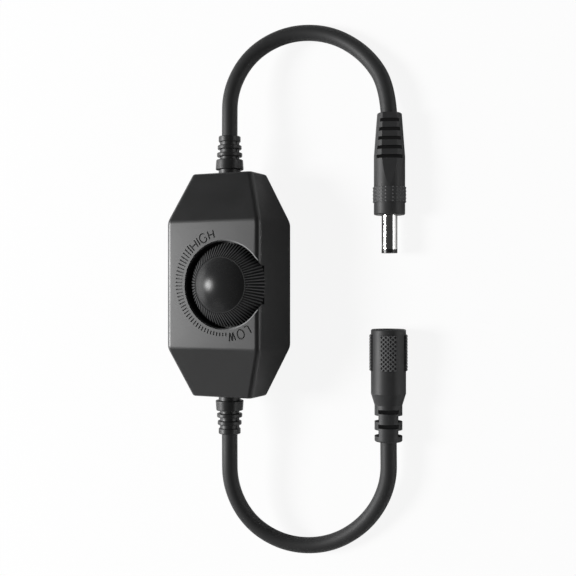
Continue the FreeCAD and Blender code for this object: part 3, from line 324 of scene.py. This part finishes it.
def on_face(stroke, middle, half_width):
    """A letter's box bent round the knob: u turns clockwise from the middle angle, v goes outwards."""
    turn = np.radians(middle - stroke[:, 0] * half_width)
    reach = WORD_FOOT + stroke[:, 1] * LETTER_HEIGHT
    return KNOB_AXIS + reach[:, None] * np.stack([np.cos(turn), np.sin(turn)], axis=-1)


def groove(path):
    """A V section carried along a path on the face: width and depth taper to a point at both ends."""
    along = np.gradient(path, axis=0)
    along /= np.linalg.norm(along, axis=1, keepdims=True)
    across = np.stack([-along[:, 1], along[:, 0]], axis=-1)
    gone = np.concatenate([[0], np.cumsum(np.linalg.norm(np.diff(path, axis=0), axis=1))])
    taper = np.clip(np.minimum(gone, gone[-1] - gone) / (GROOVE_WIDTH / 2), 0, 1)[:, None]
    half_top = GROOVE_WIDTH / 2 * (1 + GROOVE_LIFT / GROOVE_DEPTH)
    side = taper * np.array([-half_top, 0, half_top])
    rise = GROOVE_LIFT - taper * np.array([0, GROOVE_DEPTH + GROOVE_LIFT, 0])
    flat = path[:, None, :] + side[..., None] * across[:, None, :]
    return np.concatenate([flat, (FACE_LEVEL + rise)[..., None]], axis=-1) * MM


cutter_parts = [groove(on_face(stroke, middle, half)) for letter, middle, half in WORDS
                for stroke in LETTERS[letter]]
print(len(cutter_parts), "grooves to cut")

# %% [markdown]
# The frame's own mesh stays as it is. A copy of the front housing is merged into a closed skin, the
# grooves are taken out of it with a Boolean, and the copy stands for the housing. Its flat faces are
# kept flat by normals weighted by area, with sharp edges where the faces turn.

# %% Helper for a closed skin
MERGE_DISTANCE = 1e-6


def closed_skin(name, meshes):
    """One closed mesh from several, with doubled points merged and all faces turned outwards."""
    skin = bmesh.new()
    for mesh in meshes:
        skin.from_mesh(mesh)
    bmesh.ops.remove_doubles(skin, verts=skin.verts, dist=MERGE_DISTANCE)
    bmesh.ops.recalc_face_normals(skin, faces=skin.faces)
    merged = bpy.data.meshes.new(name)
    skin.to_mesh(merged)
    skin.free()
    if "custom_normal" in merged.attributes:
        merged.attributes.remove(merged.attributes["custom_normal"])
    return merged


# %% Engraved front housing
SHARP_ANGLE = 24

housing_copy = add_object("housing_copy", closed_skin("housing_copy", [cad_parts["front_housing"].data]))
cutter_meshes = [grid_mesh("groove", part, close_across=True) for part in cutter_parts]
word_cutter = add_object("word_cutter", closed_skin("word_cutter", cutter_meshes))
engraving = housing_copy.modifiers.new("engraving", "BOOLEAN")
engraving.operation = "DIFFERENCE"
engraving.solver = "EXACT"
engraving.use_self = True
engraving.object = word_cutter
evaluated = housing_copy.evaluated_get(bpy.context.evaluated_depsgraph_get())
engraved_mesh = closed_skin("engraved_housing", [bpy.data.meshes.new_from_object(evaluated)])
for helper in (housing_copy, word_cutter):
    bpy.data.objects.remove(helper)
smooth(engraved_mesh)
engraved_mesh.set_sharp_from_angle(angle=math.radians(SHARP_ANGLE))
engraved_housing = add_object("engraved_housing", engraved_mesh)
even_shading = engraved_housing.modifiers.new("even_shading", "WEIGHTED_NORMAL")
even_shading.keep_sharp = True
even_shading.weight = 100
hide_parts("front_housing")
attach(engraved_housing, "base")
print("engraved housing", len(engraved_mesh.polygons), "faces")

# %% [markdown]
# ## Grips on the connectors
#
# The plug's raised band is covered with rows of round pips, left off along the middle of the front
# and the back. Over a hundred small domes could be placed one by one, but a single skin is simpler: a
# band round the plug whose height is a formula. Near a pip's middle it rises as (1 - d2) squared,
# where d2 is the squared distance in pip radii.

# %% Helpers for skins round a connector
CONNECTOR_ROLL = 18.7


def round_axis(axis, along, turn, reach):
    """Points round an axis parallel to Y, in metres from millimetres, and no lower than the table.

    The turn is in degrees from the connector's front: x goes as its sine and z as its cosine.
    """
    lean = np.radians(turn + CONNECTOR_ROLL)
    x = axis[0] + reach * np.sin(lean)
    z = np.maximum(axis[1] + reach * np.cos(lean), 0)
    return np.stack(np.broadcast_arrays(x, along, z), axis=-1) * MM


def axis_of(node):
    """Where a round node's axis crosses the XZ plane, in millimetres."""
    low, high = (np.array(corner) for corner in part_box(node))
    return (low + high)[[0, 2]] / 2 / MM


def keep_crests(mesh, crest):
    """Stores how far each point of a grid stands out, from 0 to 1, for the finish to read."""
    mesh.attributes.new("crest", "FLOAT", "POINT").data.foreach_set("value", crest.ravel())
    return mesh


# %% Pips round the plug's band
SKIN_LIFT = 0.01
SKIN_SINK = 0.2
PLUG_AXIS = axis_of("plug_barrel")
PLUG_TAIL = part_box("plug_overmold")[1][1] / MM
BAND_START, BAND_LENGTH, BAND_RADIUS = 25.6, 5.3, 5.65
BAND_RINGS, BAND_SPOKES = 75, 480
PIP_ROWS, PIP_ROW_PITCH = 5, 1.2
PIP_COLUMNS, PIP_BARE_ANGLE = 12, 12.0
PIP_RADIUS, PIP_RISE, PIP_GROUND = 0.4, 0.17, 0.58

along_band, turn_band = np.meshgrid(np.linspace(0, BAND_LENGTH, BAND_RINGS),
                                    np.linspace(-180, 180, BAND_SPOKES, endpoint=False), indexing="ij")
column_pitch = (180 - 2 * PIP_BARE_ANGLE) / (PIP_COLUMNS - 1)
column = np.clip(np.round((np.abs(turn_band) - PIP_BARE_ANGLE) / column_pitch), 0, PIP_COLUMNS - 1)
off_column = np.radians(np.abs(turn_band) - PIP_BARE_ANGLE - column * column_pitch) * BAND_RADIUS
first_row = (BAND_LENGTH - (PIP_ROWS - 1) * PIP_ROW_PITCH) / 2
row = np.clip(np.round((along_band - first_row) / PIP_ROW_PITCH), 0, PIP_ROWS - 1)
off_row = along_band - first_row - row * PIP_ROW_PITCH
pip = np.maximum(1 - (off_column ** 2 + off_row ** 2) / PIP_RADIUS ** 2, 0) ** 2
band_reach = BAND_RADIUS + SKIN_LIFT + PIP_RISE * pip
band_reach[[0, -1]] = BAND_RADIUS - SKIN_SINK
band_points = round_axis(PLUG_AXIS, PLUG_TAIL - BAND_START - along_band, turn_band, band_reach)
band_mesh = keep_crests(grid_mesh("band", band_points, True, True), PIP_GROUND + (1 - PIP_GROUND) * pip)
plug_pips = add_object("plug_pips", closed_skin("plug_pips", [band_mesh]))
smooth(plug_pips.data)
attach(plug_pips, "base")
print("pips", 2 * PIP_COLUMNS * PIP_ROWS, "in a skin of", len(plug_pips.data.polygons), "faces")

# %% [markdown]
# The jack has four raised pads. The front and the back one are knurled: two families of slanting
# ridges cross and leave a pit between them, so the height follows the larger of two rectified sine
# waves. The two side pads show a row of cross ribs in outline, one rectified sine wave along the jack.
# Each pad is a patch whose rim dips into the solid, given a little thickness by Solidify.

# %% A patch over one pad of the jack
JACK_AXIS = axis_of("jack_overmold")
JACK_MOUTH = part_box("jack_overmold")[1][1] / MM
PAD_START, PAD_LENGTH, PAD_RADIUS, PAD_HALF_ANGLE = 1.9, 12.4, 6.45, 25.0
PAD_MARGIN, PAD_ANGLE_MARGIN = 0.1, 0.5
PAD_RINGS, PAD_SPOKES = 125, 57
PATCH_THICKNESS = 0.2


def pad_patch(name, side, relief, rise):
    """A patch over one pad, a quarter turn further for each side.

    Its radius is the pad's, plus the rise times relief(across, along), which goes from 0 to 1.
    """
    widest = PAD_HALF_ANGLE - PAD_ANGLE_MARGIN
    along, turn = np.meshgrid(np.linspace(PAD_MARGIN, PAD_LENGTH - PAD_MARGIN, PAD_RINGS),
                              np.linspace(-widest, widest, PAD_SPOKES), indexing="ij")
    crest = relief(np.radians(turn) * PAD_RADIUS, along)
    reach = PAD_RADIUS + SKIN_LIFT + rise * crest
    reach[[0, -1]] = PAD_RADIUS - SKIN_SINK
    reach[:, [0, -1]] = PAD_RADIUS - SKIN_SINK
    points = round_axis(JACK_AXIS, JACK_MOUTH - PAD_START - along, turn + side * 90, reach)
    patch = add_object(name, keep_crests(grid_mesh(name, points), crest))
    thickness = patch.modifiers.new("thickness", "SOLIDIFY")
    thickness.thickness = PATCH_THICKNESS * MM
    thickness.offset = -1
    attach(patch, "base")
    return patch


# %% Knurls and ribs on the jack's pads
KNURL_PITCH, KNURL_RISE = 1.5, 0.3
RIB_PITCH, RIB_RISE = 1.06, 0.16


def knurl(across, along):
    """The cube of the larger |sin| of two slanting phases: narrow ridges with a square pit between."""
    one_way = np.abs(np.sin(np.pi * (along + across) / KNURL_PITCH))
    other_way = np.abs(np.sin(np.pi * (along - across) / KNURL_PITCH))
    return np.maximum(one_way, other_way) ** 3


def ribs(across, along):
    """|sin| along the jack, the same all the way across."""
    return np.abs(np.sin(np.pi * along / RIB_PITCH))


jack_grips = [
    pad_patch("jack_front_knurl", 0, knurl, KNURL_RISE),
    pad_patch("jack_right_ribs", 1, ribs, RIB_RISE),
    pad_patch("jack_back_knurl", 2, knurl, KNURL_RISE),
    pad_patch("jack_left_ribs", 3, ribs, RIB_RISE),
]
print(len(jack_grips), "pads of", len(jack_grips[0].data.polygons), "faces each")

# %% [markdown]

# %% [markdown]
# ## Finishes
#
# Moulded plastic is never one flat tone: the mould's surface leaves a fine grain, and the gloss
# wanders a little from place to place. Both come from noise, so they are one node group with its
# own values in each material. It gives a colour, a roughness and a height; the shader itself stays
# in the material.

# %% Grain group
GRAIN_DETAIL, PATCH_DETAIL = 2.0, 3.0
NOISE_LOW, NOISE_HIGH = 0.7, 1.3


def grain_group():
    """Fine noise gives the height, broad noise drifts the colour, and both together the roughness."""
    group = bpy.data.node_groups.new("moulded_grain", "ShaderNodeTree")
    face = group.interface
    for socket in ("Dark", "Light"):
        face.new_socket(socket, in_out="INPUT", socket_type="NodeSocketColor")
    for socket in ("Grain Scale", "Patch Scale", "Smoothest", "Roughest"):
        face.new_socket(socket, in_out="INPUT", socket_type="NodeSocketFloat")
    face.new_socket("Colour", in_out="OUTPUT", socket_type="NodeSocketColor")
    face.new_socket("Roughness", in_out="OUTPUT", socket_type="NodeSocketFloat")
    face.new_socket("Height", in_out="OUTPUT", socket_type="NodeSocketFloat")
    add, link = group.nodes.new, group.links.new
    given, made = add("NodeGroupInput"), add("NodeGroupOutput")
    place = add("ShaderNodeTexCoord")
    grain, patch = add("ShaderNodeTexNoise"), add("ShaderNodeTexNoise")
    for noise, scale, detail in ((grain, "Grain Scale", GRAIN_DETAIL), (patch, "Patch Scale", PATCH_DETAIL)):
        noise.inputs["Detail"].default_value = detail
        link(place.outputs["Object"], noise.inputs["Vector"])
        link(given.outputs[scale], noise.inputs["Scale"])
    drift = add("ShaderNodeMix")
    drift.data_type = "RGBA"
    link(patch.outputs["Fac"], drift.inputs["Factor"])
    link(given.outputs["Dark"], drift.inputs["A"])
    link(given.outputs["Light"], drift.inputs["B"])
    link(drift.outputs["Result"], made.inputs["Colour"])
    both = add("ShaderNodeMath")
    both.operation = "ADD"
    link(grain.outputs["Fac"], both.inputs[0])
    link(patch.outputs["Fac"], both.inputs[1])
    gloss = add("ShaderNodeMapRange")
    gloss.inputs["From Min"].default_value = NOISE_LOW
    gloss.inputs["From Max"].default_value = NOISE_HIGH
    link(both.outputs[0], gloss.inputs["Value"])
    link(given.outputs["Smoothest"], gloss.inputs["To Min"])
    link(given.outputs["Roughest"], gloss.inputs["To Max"])
    link(gloss.outputs["Result"], made.inputs["Roughness"])
    link(grain.outputs["Fac"], made.inputs["Height"])
    return group


GRAIN = grain_group()
print("grain group with", len(GRAIN.nodes), "nodes")

# %% [markdown]
# Every moulded, plated or painted finish here is the same recipe with other numbers: a pair of
# colours, a span of roughness, the size of the grain and how deep it is. A helper builds the
# material, so each finish below is one call that can be read like a label on a sample.


# %% Finish helper
def grained_finish(name, dark, light, gloss, grain, metallic=0.0, specular=0.5):
    """A material with grain between two colours.

    Gloss is (smoothest, roughest), and grain is (grains per metre, patches per metre, depth in mm).
    """
    finish = bpy.data.materials.new(name)
    finish.use_nodes = True
    nodes, links = finish.node_tree.nodes, finish.node_tree.links
    shader = nodes["Principled BSDF"]
    shader.inputs["Metallic"].default_value = metallic
    shader.inputs["Specular IOR Level"].default_value = specular
    grained = nodes.new("ShaderNodeGroup")
    grained.node_tree = GRAIN
    grained.inputs["Dark"].default_value = (*dark, 1)
    grained.inputs["Light"].default_value = (*light, 1)
    grained.inputs["Smoothest"].default_value, grained.inputs["Roughest"].default_value = gloss
    grained.inputs["Grain Scale"].default_value = grain[0]
    grained.inputs["Patch Scale"].default_value = grain[1]
    bump = nodes.new("ShaderNodeBump")
    bump.inputs["Strength"].default_value = 1.0
    bump.inputs["Distance"].default_value = grain[2] * MM
    links.new(grained.outputs["Colour"], shader.inputs["Base Color"])
    links.new(grained.outputs["Roughness"], shader.inputs["Roughness"])
    links.new(grained.outputs["Height"], bump.inputs["Height"])
    links.new(bump.outputs["Normal"], shader.inputs["Normal"])
    return finish


# %% [markdown]
# The casing and the knob are black ABS: the casing's mould was spark-eroded to a fine matt grain,
# the knob's was polished. The cords and the connectors' bodies are soft black vinyl with a satin skin,
# and the boots are a darker, shinier vinyl.

# %% Black plastics
casing_plastic = grained_finish("casing_plastic", (0.0105, 0.0107, 0.011), (0.0135, 0.0137, 0.0141),
                                (0.36, 0.43), (4200, 90, 0.006), specular=0.68)
knob_plastic = grained_finish("knob_plastic", (0.02, 0.0202, 0.0206), (0.025, 0.0252, 0.0257),
                              (0.24, 0.29), (3000, 110, 0.001), specular=0.18)
cord_vinyl = grained_finish("cord_vinyl", (0.028, 0.0283, 0.0288), (0.034, 0.0343, 0.035),
                            (0.52, 0.6), (1800, 70, 0.006), specular=0.32)
soft_vinyl = grained_finish("soft_vinyl", (0.034, 0.0343, 0.035), (0.042, 0.0424, 0.0432),
                            (0.46, 0.54), (2600, 90, 0.005), specular=0.32)
boot_vinyl = grained_finish("boot_vinyl", (0.018, 0.0182, 0.0186), (0.022, 0.0222, 0.0227),
                            (0.37, 0.45), (2600, 90, 0.004), specular=0.45)
connector_plastic = grained_finish("connector_plastic", (0.008, 0.0081, 0.0083), (0.011, 0.0111, 0.0114),
                                   (0.28, 0.36), (2600, 120, 0.002))
print("black plastics made")

# %% [markdown]
# Two of these finishes change from place to place. The knob's dome is polished, but the ridges round
# it keep the dull skin of the cutter that made them, with a painted highlight on their crests and painted
# shade in between. The words and ticks of the scale are cut into the casing, and stay dull where no
# finger rubs them, so they don't mirror the light as the face does; they are also painted paler than the
# face, painted light that lifts the shade in their grooves. A second material on some faces could do it,
# but a mask worked out from Object coordinates needs no extra slots, and on the knob it turns with the piece.


# %% Helpers for masks
def fade(finish, value, start, end):
    """0 where the value is at or before start and 1 at or past end, with a straight ramp between."""
    ramp = finish.node_tree.nodes.new("ShaderNodeMapRange")
    ramp.inputs["From Min"].default_value = start
    ramp.inputs["From Max"].default_value = end
    finish.node_tree.links.new(value, ramp.inputs["Value"])
    return ramp.outputs["Result"]


def fade_mm(finish, value, start, end):
    """The same for a value in metres, with the start and the end given in millimetres."""
    return fade(finish, value, start * MM, end * MM)


def all_of(finish, mask, *others):
    """Masks multiplied together: 1 only where every one of them is 1."""
    for other in others:
        mask = math_node(finish, "MULTIPLY", mask, other)
    return mask


def place_from(finish, x_start, y_start, z_start):
    """The place on a piece as x, y and z from a start given in millimetres, three sockets in metres."""
    nodes, links = finish.node_tree.nodes, finish.node_tree.links
    place, split = nodes.new("ShaderNodeTexCoord"), nodes.new("ShaderNodeSeparateXYZ")
    links.new(place.outputs["Object"], split.inputs[0])
    sides = zip(split.outputs, (x_start, y_start, z_start))
    return [math_node(finish, "SUBTRACT", side, float(start * MM)) for side, start in sides]


def reach_of(finish, x, y):
    """The distance from an axis: the square root of x squared plus y squared."""
    squares = [math_node(finish, "MULTIPLY", side, side) for side in (x, y)]
    return math_node(finish, "SQRT", math_node(finish, "ADD", *squares))


def mixed_in(finish, socket, mask, kind, other):
    """Mixes another value into what already feeds one of the shader's sockets, where the mask is 1."""
    nodes, links = finish.node_tree.nodes, finish.node_tree.links
    choice = nodes.new("ShaderNodeMix")
    choice.data_type = kind
    before, after = [side for side in choice.inputs if side.enabled and side.name in ("A", "B")]
    target = nodes["Principled BSDF"].inputs[socket]
    links.new(mask, choice.inputs["Factor"])
    links.new(target.links[0].from_socket, before)
    after.default_value = other
    links.new([side for side in choice.outputs if side.enabled][0], target)


# %% Dull ridges round the polished dome, with a painted highlight on each crest and painted shade between
DOME_RADIUS, DOME_EDGE = 10.0, 0.3
RIDGE_COUNT = 75
RIDGE_MIDDLE, CREST_START, CREST_FULL = 0.5, 0.3, 0.08
RIDGE_PAINTED_SHADE = (0.016, 0.0161, 0.0164, 1)
CREST_PAINTED_HIGHLIGHT = (0.1, 0.1008, 0.1024, 1)
RIDGE_ROUGHNESS = 0.5

knob_x, knob_y, _ = place_from(knob_plastic, *KNOB_AXIS, 0)
knob_reach = reach_of(knob_plastic, knob_x, knob_y)
on_ridges = fade_mm(knob_plastic, knob_reach, DOME_RADIUS, DOME_RADIUS + DOME_EDGE)
knob_turn = math_node(knob_plastic, "ARCTAN2", knob_y, knob_x)
ridge_number = math_node(knob_plastic, "MULTIPLY", knob_turn, RIDGE_COUNT / (2 * math.pi))
ridge_share = math_node(knob_plastic, "FRACT", ridge_number)
off_middle = math_node(knob_plastic, "SUBTRACT", ridge_share, RIDGE_MIDDLE)
off_crest = math_node(knob_plastic, "ABSOLUTE", off_middle)
painted_crest_highlight = all_of(knob_plastic, on_ridges, fade(knob_plastic, off_crest, CREST_START, CREST_FULL))
# Painted shade over the ridges, then a painted highlight on each crest.
mixed_in(knob_plastic, "Base Color", on_ridges, "RGBA", RIDGE_PAINTED_SHADE)
mixed_in(knob_plastic, "Base Color", painted_crest_highlight, "RGBA", CREST_PAINTED_HIGHLIGHT)
mixed_in(knob_plastic, "Roughness", on_ridges, "FLOAT", RIDGE_ROUGHNESS)
print("ridges begin", DOME_RADIUS, "mm from the knob's axis")

# %% Dull words and ticks, with painted light in their grooves
MARK_PAINTED_LIGHT = (0.05, 0.0503, 0.051, 1)
MARK_ROUGHNESS = 0.7
MARK_RING, MARK_RING_END, MARK_RIGHT_END = 16.3, 21.2, 11.5
MARK_TOP, MARK_FULL, MARK_DEEPEST = -0.01, -0.06, -0.4
MARK_EDGE = 0.1

face_x, face_y, face_z = place_from(casing_plastic, *KNOB_AXIS, FACE_LEVEL)
face_reach = reach_of(casing_plastic, face_x, face_y)
below_face = fade_mm(casing_plastic, face_z, MARK_TOP, MARK_FULL)
near_face = fade_mm(casing_plastic, face_z, MARK_DEEPEST - MARK_EDGE, MARK_DEEPEST)
past_rim = fade_mm(casing_plastic, face_reach, MARK_RING - MARK_EDGE, MARK_RING)
before_edge = fade_mm(casing_plastic, face_reach, MARK_RING_END + MARK_EDGE, MARK_RING_END)
off_bevel = fade_mm(casing_plastic, face_x, MARK_RIGHT_END, MARK_RIGHT_END - MARK_EDGE)
mark = all_of(casing_plastic, below_face, near_face, past_rim, before_edge, off_bevel)
# The marks are painted paler than the casing: painted light that lifts the shade in the grooves.
mixed_in(casing_plastic, "Base Color", mark, "RGBA", MARK_PAINTED_LIGHT)
mixed_in(casing_plastic, "Roughness", mark, "FLOAT", MARK_ROUGHNESS)
print("marks are dull from", MARK_RING, "to", MARK_RING_END, "mm from the knob's axis")

# %% [markdown]
# The bevelled rim of the recess carries a painted highlight over the open side of the recess. The mask
# is the ring of the bevel, and it fades out towards the far side.

# %% Painted highlight on the rim of the recess
RIM_PAINTED_HIGHLIGHT = (0.32, 0.322, 0.326, 1)
RIM_INSIDE, RIM_OUTSIDE, RIM_FOOT = 15.3, 15.85, -0.5
RIM_EDGE = 0.05
RIM_HIGHLIGHT_START, RIM_HIGHLIGHT_FULL = -3.0, 6.0

past_wall = fade_mm(casing_plastic, face_reach, RIM_INSIDE, RIM_INSIDE + RIM_EDGE)
inside_face = fade_mm(casing_plastic, face_reach, RIM_OUTSIDE, RIM_OUTSIDE - RIM_EDGE)
over_wall = fade_mm(casing_plastic, face_z, RIM_FOOT, RIM_FOOT + RIM_EDGE)
on_open_side = fade_mm(casing_plastic, face_x, RIM_HIGHLIGHT_START, RIM_HIGHLIGHT_FULL)
painted_rim_highlight = all_of(casing_plastic, past_wall, inside_face, over_wall, on_open_side)
# Painted highlight: the rim's bevel is coloured pale grey.
mixed_in(casing_plastic, "Base Color", painted_rim_highlight, "RGBA", RIM_PAINTED_HIGHLIGHT)
print("rim rubbed pale from", RIM_HIGHLIGHT_START, "mm right of the knob's axis")

# %% [markdown]
# The tops of the connectors' pips and knurls carry a painted highlight, and the slots of their strain
# reliefs carry painted shade, so they read as black bars. The grips carry a crest attribute, worked out
# with their shape, and the slots lie at even steps along each connector.

# %% Painted highlights on the grips
GRIP_PAINTED_HIGHLIGHT = (0.16, 0.1613, 0.164, 1)
GRIP_HIGHLIGHT_START, GRIP_HIGHLIGHT_FULL = 0.45, 1.0

# The grips' ground is darker than the bodies' vinyl, painted shade between the pips and knurls.
grip_vinyl = grained_finish("grip_vinyl", (0.012, 0.0121, 0.0124), (0.016, 0.0162, 0.0166),
                            (0.46, 0.54), (2600, 90, 0.004), specular=0.32)
crest_place = grip_vinyl.node_tree.nodes.new("ShaderNodeAttribute")
crest_place.attribute_name = "crest"
painted = fade(grip_vinyl, crest_place.outputs["Fac"], GRIP_HIGHLIGHT_START, GRIP_HIGHLIGHT_FULL)
# Painted highlight: the crests are coloured pale.
mixed_in(grip_vinyl, "Base Color", painted, "RGBA", GRIP_PAINTED_HIGHLIGHT)
print("grips rubbed pale on their crests")

# %% Painted shade in the slots of the strain reliefs
SLOT_PAINTED_SHADE = (0.003, 0.003, 0.0031, 1)
SLOT_ROUGHNESS = 0.8
SLOT_EDGE = 0.04


def paint_slot_shade(finish, axis, start, first, pitch, width, count, floor, roll):
    """Paints shade into the slots of a connector, in millimetres from its start along -Y and from its axis.

    With s = (start - first - y) / pitch, a slot is where s is between 0 and count and its fraction is
    under width / pitch, and the height either way from the axis, |x sin(roll) + z cos(roll)|, is past
    the slot's floor. Each slot is widened by an edge, so that the painted shade covers its walls too.
    """
    x, y, z = place_from(finish, axis[0], start - first + SLOT_EDGE, axis[1])
    steps = math_node(finish, "DIVIDE", y, -pitch * MM)
    past_first = math_node(finish, "GREATER_THAN", steps, 0.0)
    before_last = math_node(finish, "LESS_THAN", steps, float(count))
    slot_share = (width + 2 * SLOT_EDGE) / pitch
    in_slot = math_node(finish, "LESS_THAN", math_node(finish, "FRACT", steps), slot_share)
    lean = math.radians(roll)
    over_x = math_node(finish, "MULTIPLY", x, math.sin(lean))
    over_z = math_node(finish, "MULTIPLY", z, math.cos(lean))
    height = math_node(finish, "ABSOLUTE", math_node(finish, "ADD", over_x, over_z))
    past_floor = math_node(finish, "GREATER_THAN", height, floor * MM)
    slot = all_of(finish, past_first, before_last, in_slot, past_floor)
    # Painted shade: the slots are coloured near black.
    mixed_in(finish, "Base Color", slot, "RGBA", SLOT_PAINTED_SHADE)
    mixed_in(finish, "Roughness", slot, "FLOAT", SLOT_ROUGHNESS)


plug_vinyl = soft_vinyl.copy()
plug_vinyl.name = "plug_vinyl"
paint_slot_shade(plug_vinyl, PLUG_AXIS, PLUG_TAIL, first=2.15, pitch=3.15, width=1.15, count=5,
           floor=3.0, roll=CONNECTOR_ROLL)
jack_vinyl = soft_vinyl.copy()
jack_vinyl.name = "jack_vinyl"
paint_slot_shade(jack_vinyl, JACK_AXIS, JACK_MOUTH, first=27.6, pitch=5.0, width=1.35, count=2,
           floor=3.2, roll=CONNECTOR_ROLL)
paint_slot_shade(jack_vinyl, JACK_AXIS, JACK_MOUTH, first=29.65, pitch=5.0, width=2.15, count=2,
           floor=3.2, roll=CONNECTOR_ROLL + 90)
print("slots darkened on the plug and the jack")

# %% [markdown]
# The pieces inside and the contacts are ordinary: nickel-plated brass on the barrel and the pin,
# bare brass springs, steel and zinc in the potentiometer, and the usual colours of a small circuit.

# %% Metals and inner pieces
plated_metal = grained_finish("plated_metal", (0.86, 0.855, 0.84), (0.92, 0.915, 0.9), (0.1, 0.16),
                              (900, 160, 0.0008), metallic=1.0)
contact_brass = grained_finish("contact_brass", (0.66, 0.47, 0.2), (0.76, 0.56, 0.26), (0.2, 0.32),
                               (1200, 200, 0.001), metallic=1.0)
steel = grained_finish("steel", (0.5, 0.5, 0.5), (0.6, 0.6, 0.59), (0.24, 0.36), (1500, 200, 0.001),
                       metallic=1.0)
cast_zinc = grained_finish("cast_zinc", (0.42, 0.43, 0.44), (0.52, 0.53, 0.54), (0.38, 0.5),
                           (1600, 240, 0.004), metallic=1.0)
phenolic = grained_finish("phenolic", (0.2, 0.105, 0.05), (0.27, 0.15, 0.075), (0.45, 0.6),
                          (2200, 300, 0.004))
board_laminate = grained_finish("board_laminate", (0.012, 0.1, 0.045), (0.02, 0.14, 0.06), (0.25, 0.4),
                                (1500, 250, 0.003))
component_plastic = grained_finish("component_plastic", (0.022, 0.022, 0.023), (0.03, 0.03, 0.031),
                                   (0.5, 0.62), (5200, 300, 0.004))
chip_ceramic = grained_finish("chip_ceramic", (0.42, 0.3, 0.18), (0.5, 0.36, 0.22), (0.4, 0.55),
                              (4000, 500, 0.003))
capacitor_sleeve = grained_finish("capacitor_sleeve", (0.012, 0.016, 0.05), (0.016, 0.022, 0.065),
                                  (0.25, 0.36), (1800, 150, 0.002))
red_insulation = grained_finish("red_insulation", (0.42, 0.015, 0.012), (0.5, 0.02, 0.016), (0.35, 0.48),
                                (2200, 160, 0.003))
black_insulation = grained_finish("black_insulation", (0.014, 0.014, 0.015), (0.02, 0.02, 0.021),
                                  (0.35, 0.48), (2200, 160, 0.003))
print("metals and inner finishes made")

# %% Put the finishes on the frame's pieces
WEARS = {
    casing_plastic: ["front_housing", "rear_housing"],
    knob_plastic: ["dimmer_knob"],
    boot_vinyl: ["output_boot", "input_boot"],
    plug_vinyl: ["plug_overmold"],
    jack_vinyl: ["jack_overmold"],
    connector_plastic: ["plug_insulator", "jack_insert"],
    plated_metal: ["plug_barrel", "jack_pin"],
    contact_brass: ["plug_inner_contact", "jack_spring", "pot_wiper"],
    steel: ["housing_screws", "pot_nut", "pot_washer", "pot_shaft", "pot_cover", "pot_terminals",
            "solder_joints"],
    cast_zinc: ["pot_bushing"],
    phenolic: ["pot_wafer", "pot_rotor"],
    board_laminate: ["circuit_board"],
    component_plastic: ["power_transistor", "timer_chip", "flyback_diode", "chip_resistors"],
    chip_ceramic: ["chip_capacitors"],
    capacitor_sleeve: ["electrolytic_capacitor"],
    red_insulation: ["output_red_wire", "input_red_wire"],
    black_insulation: ["output_black_wire", "input_black_wire"],
}


def wear(piece, finish):
    """Gives a piece one finish in place of what it had."""
    piece.data.materials.clear()
    piece.data.materials.append(finish)


for finish, names in WEARS.items():
    for name in names:
        wear(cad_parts[name], finish)
wear(engraved_housing, casing_plastic)
for cord in (output_cord, input_cord):
    wear(cord, cord_vinyl)
for grip in (plug_pips, *jack_grips):
    wear(grip, grip_vinyl)
dressed = sum(len(names) for names in WEARS.values())
print(dressed, "frame pieces dressed")
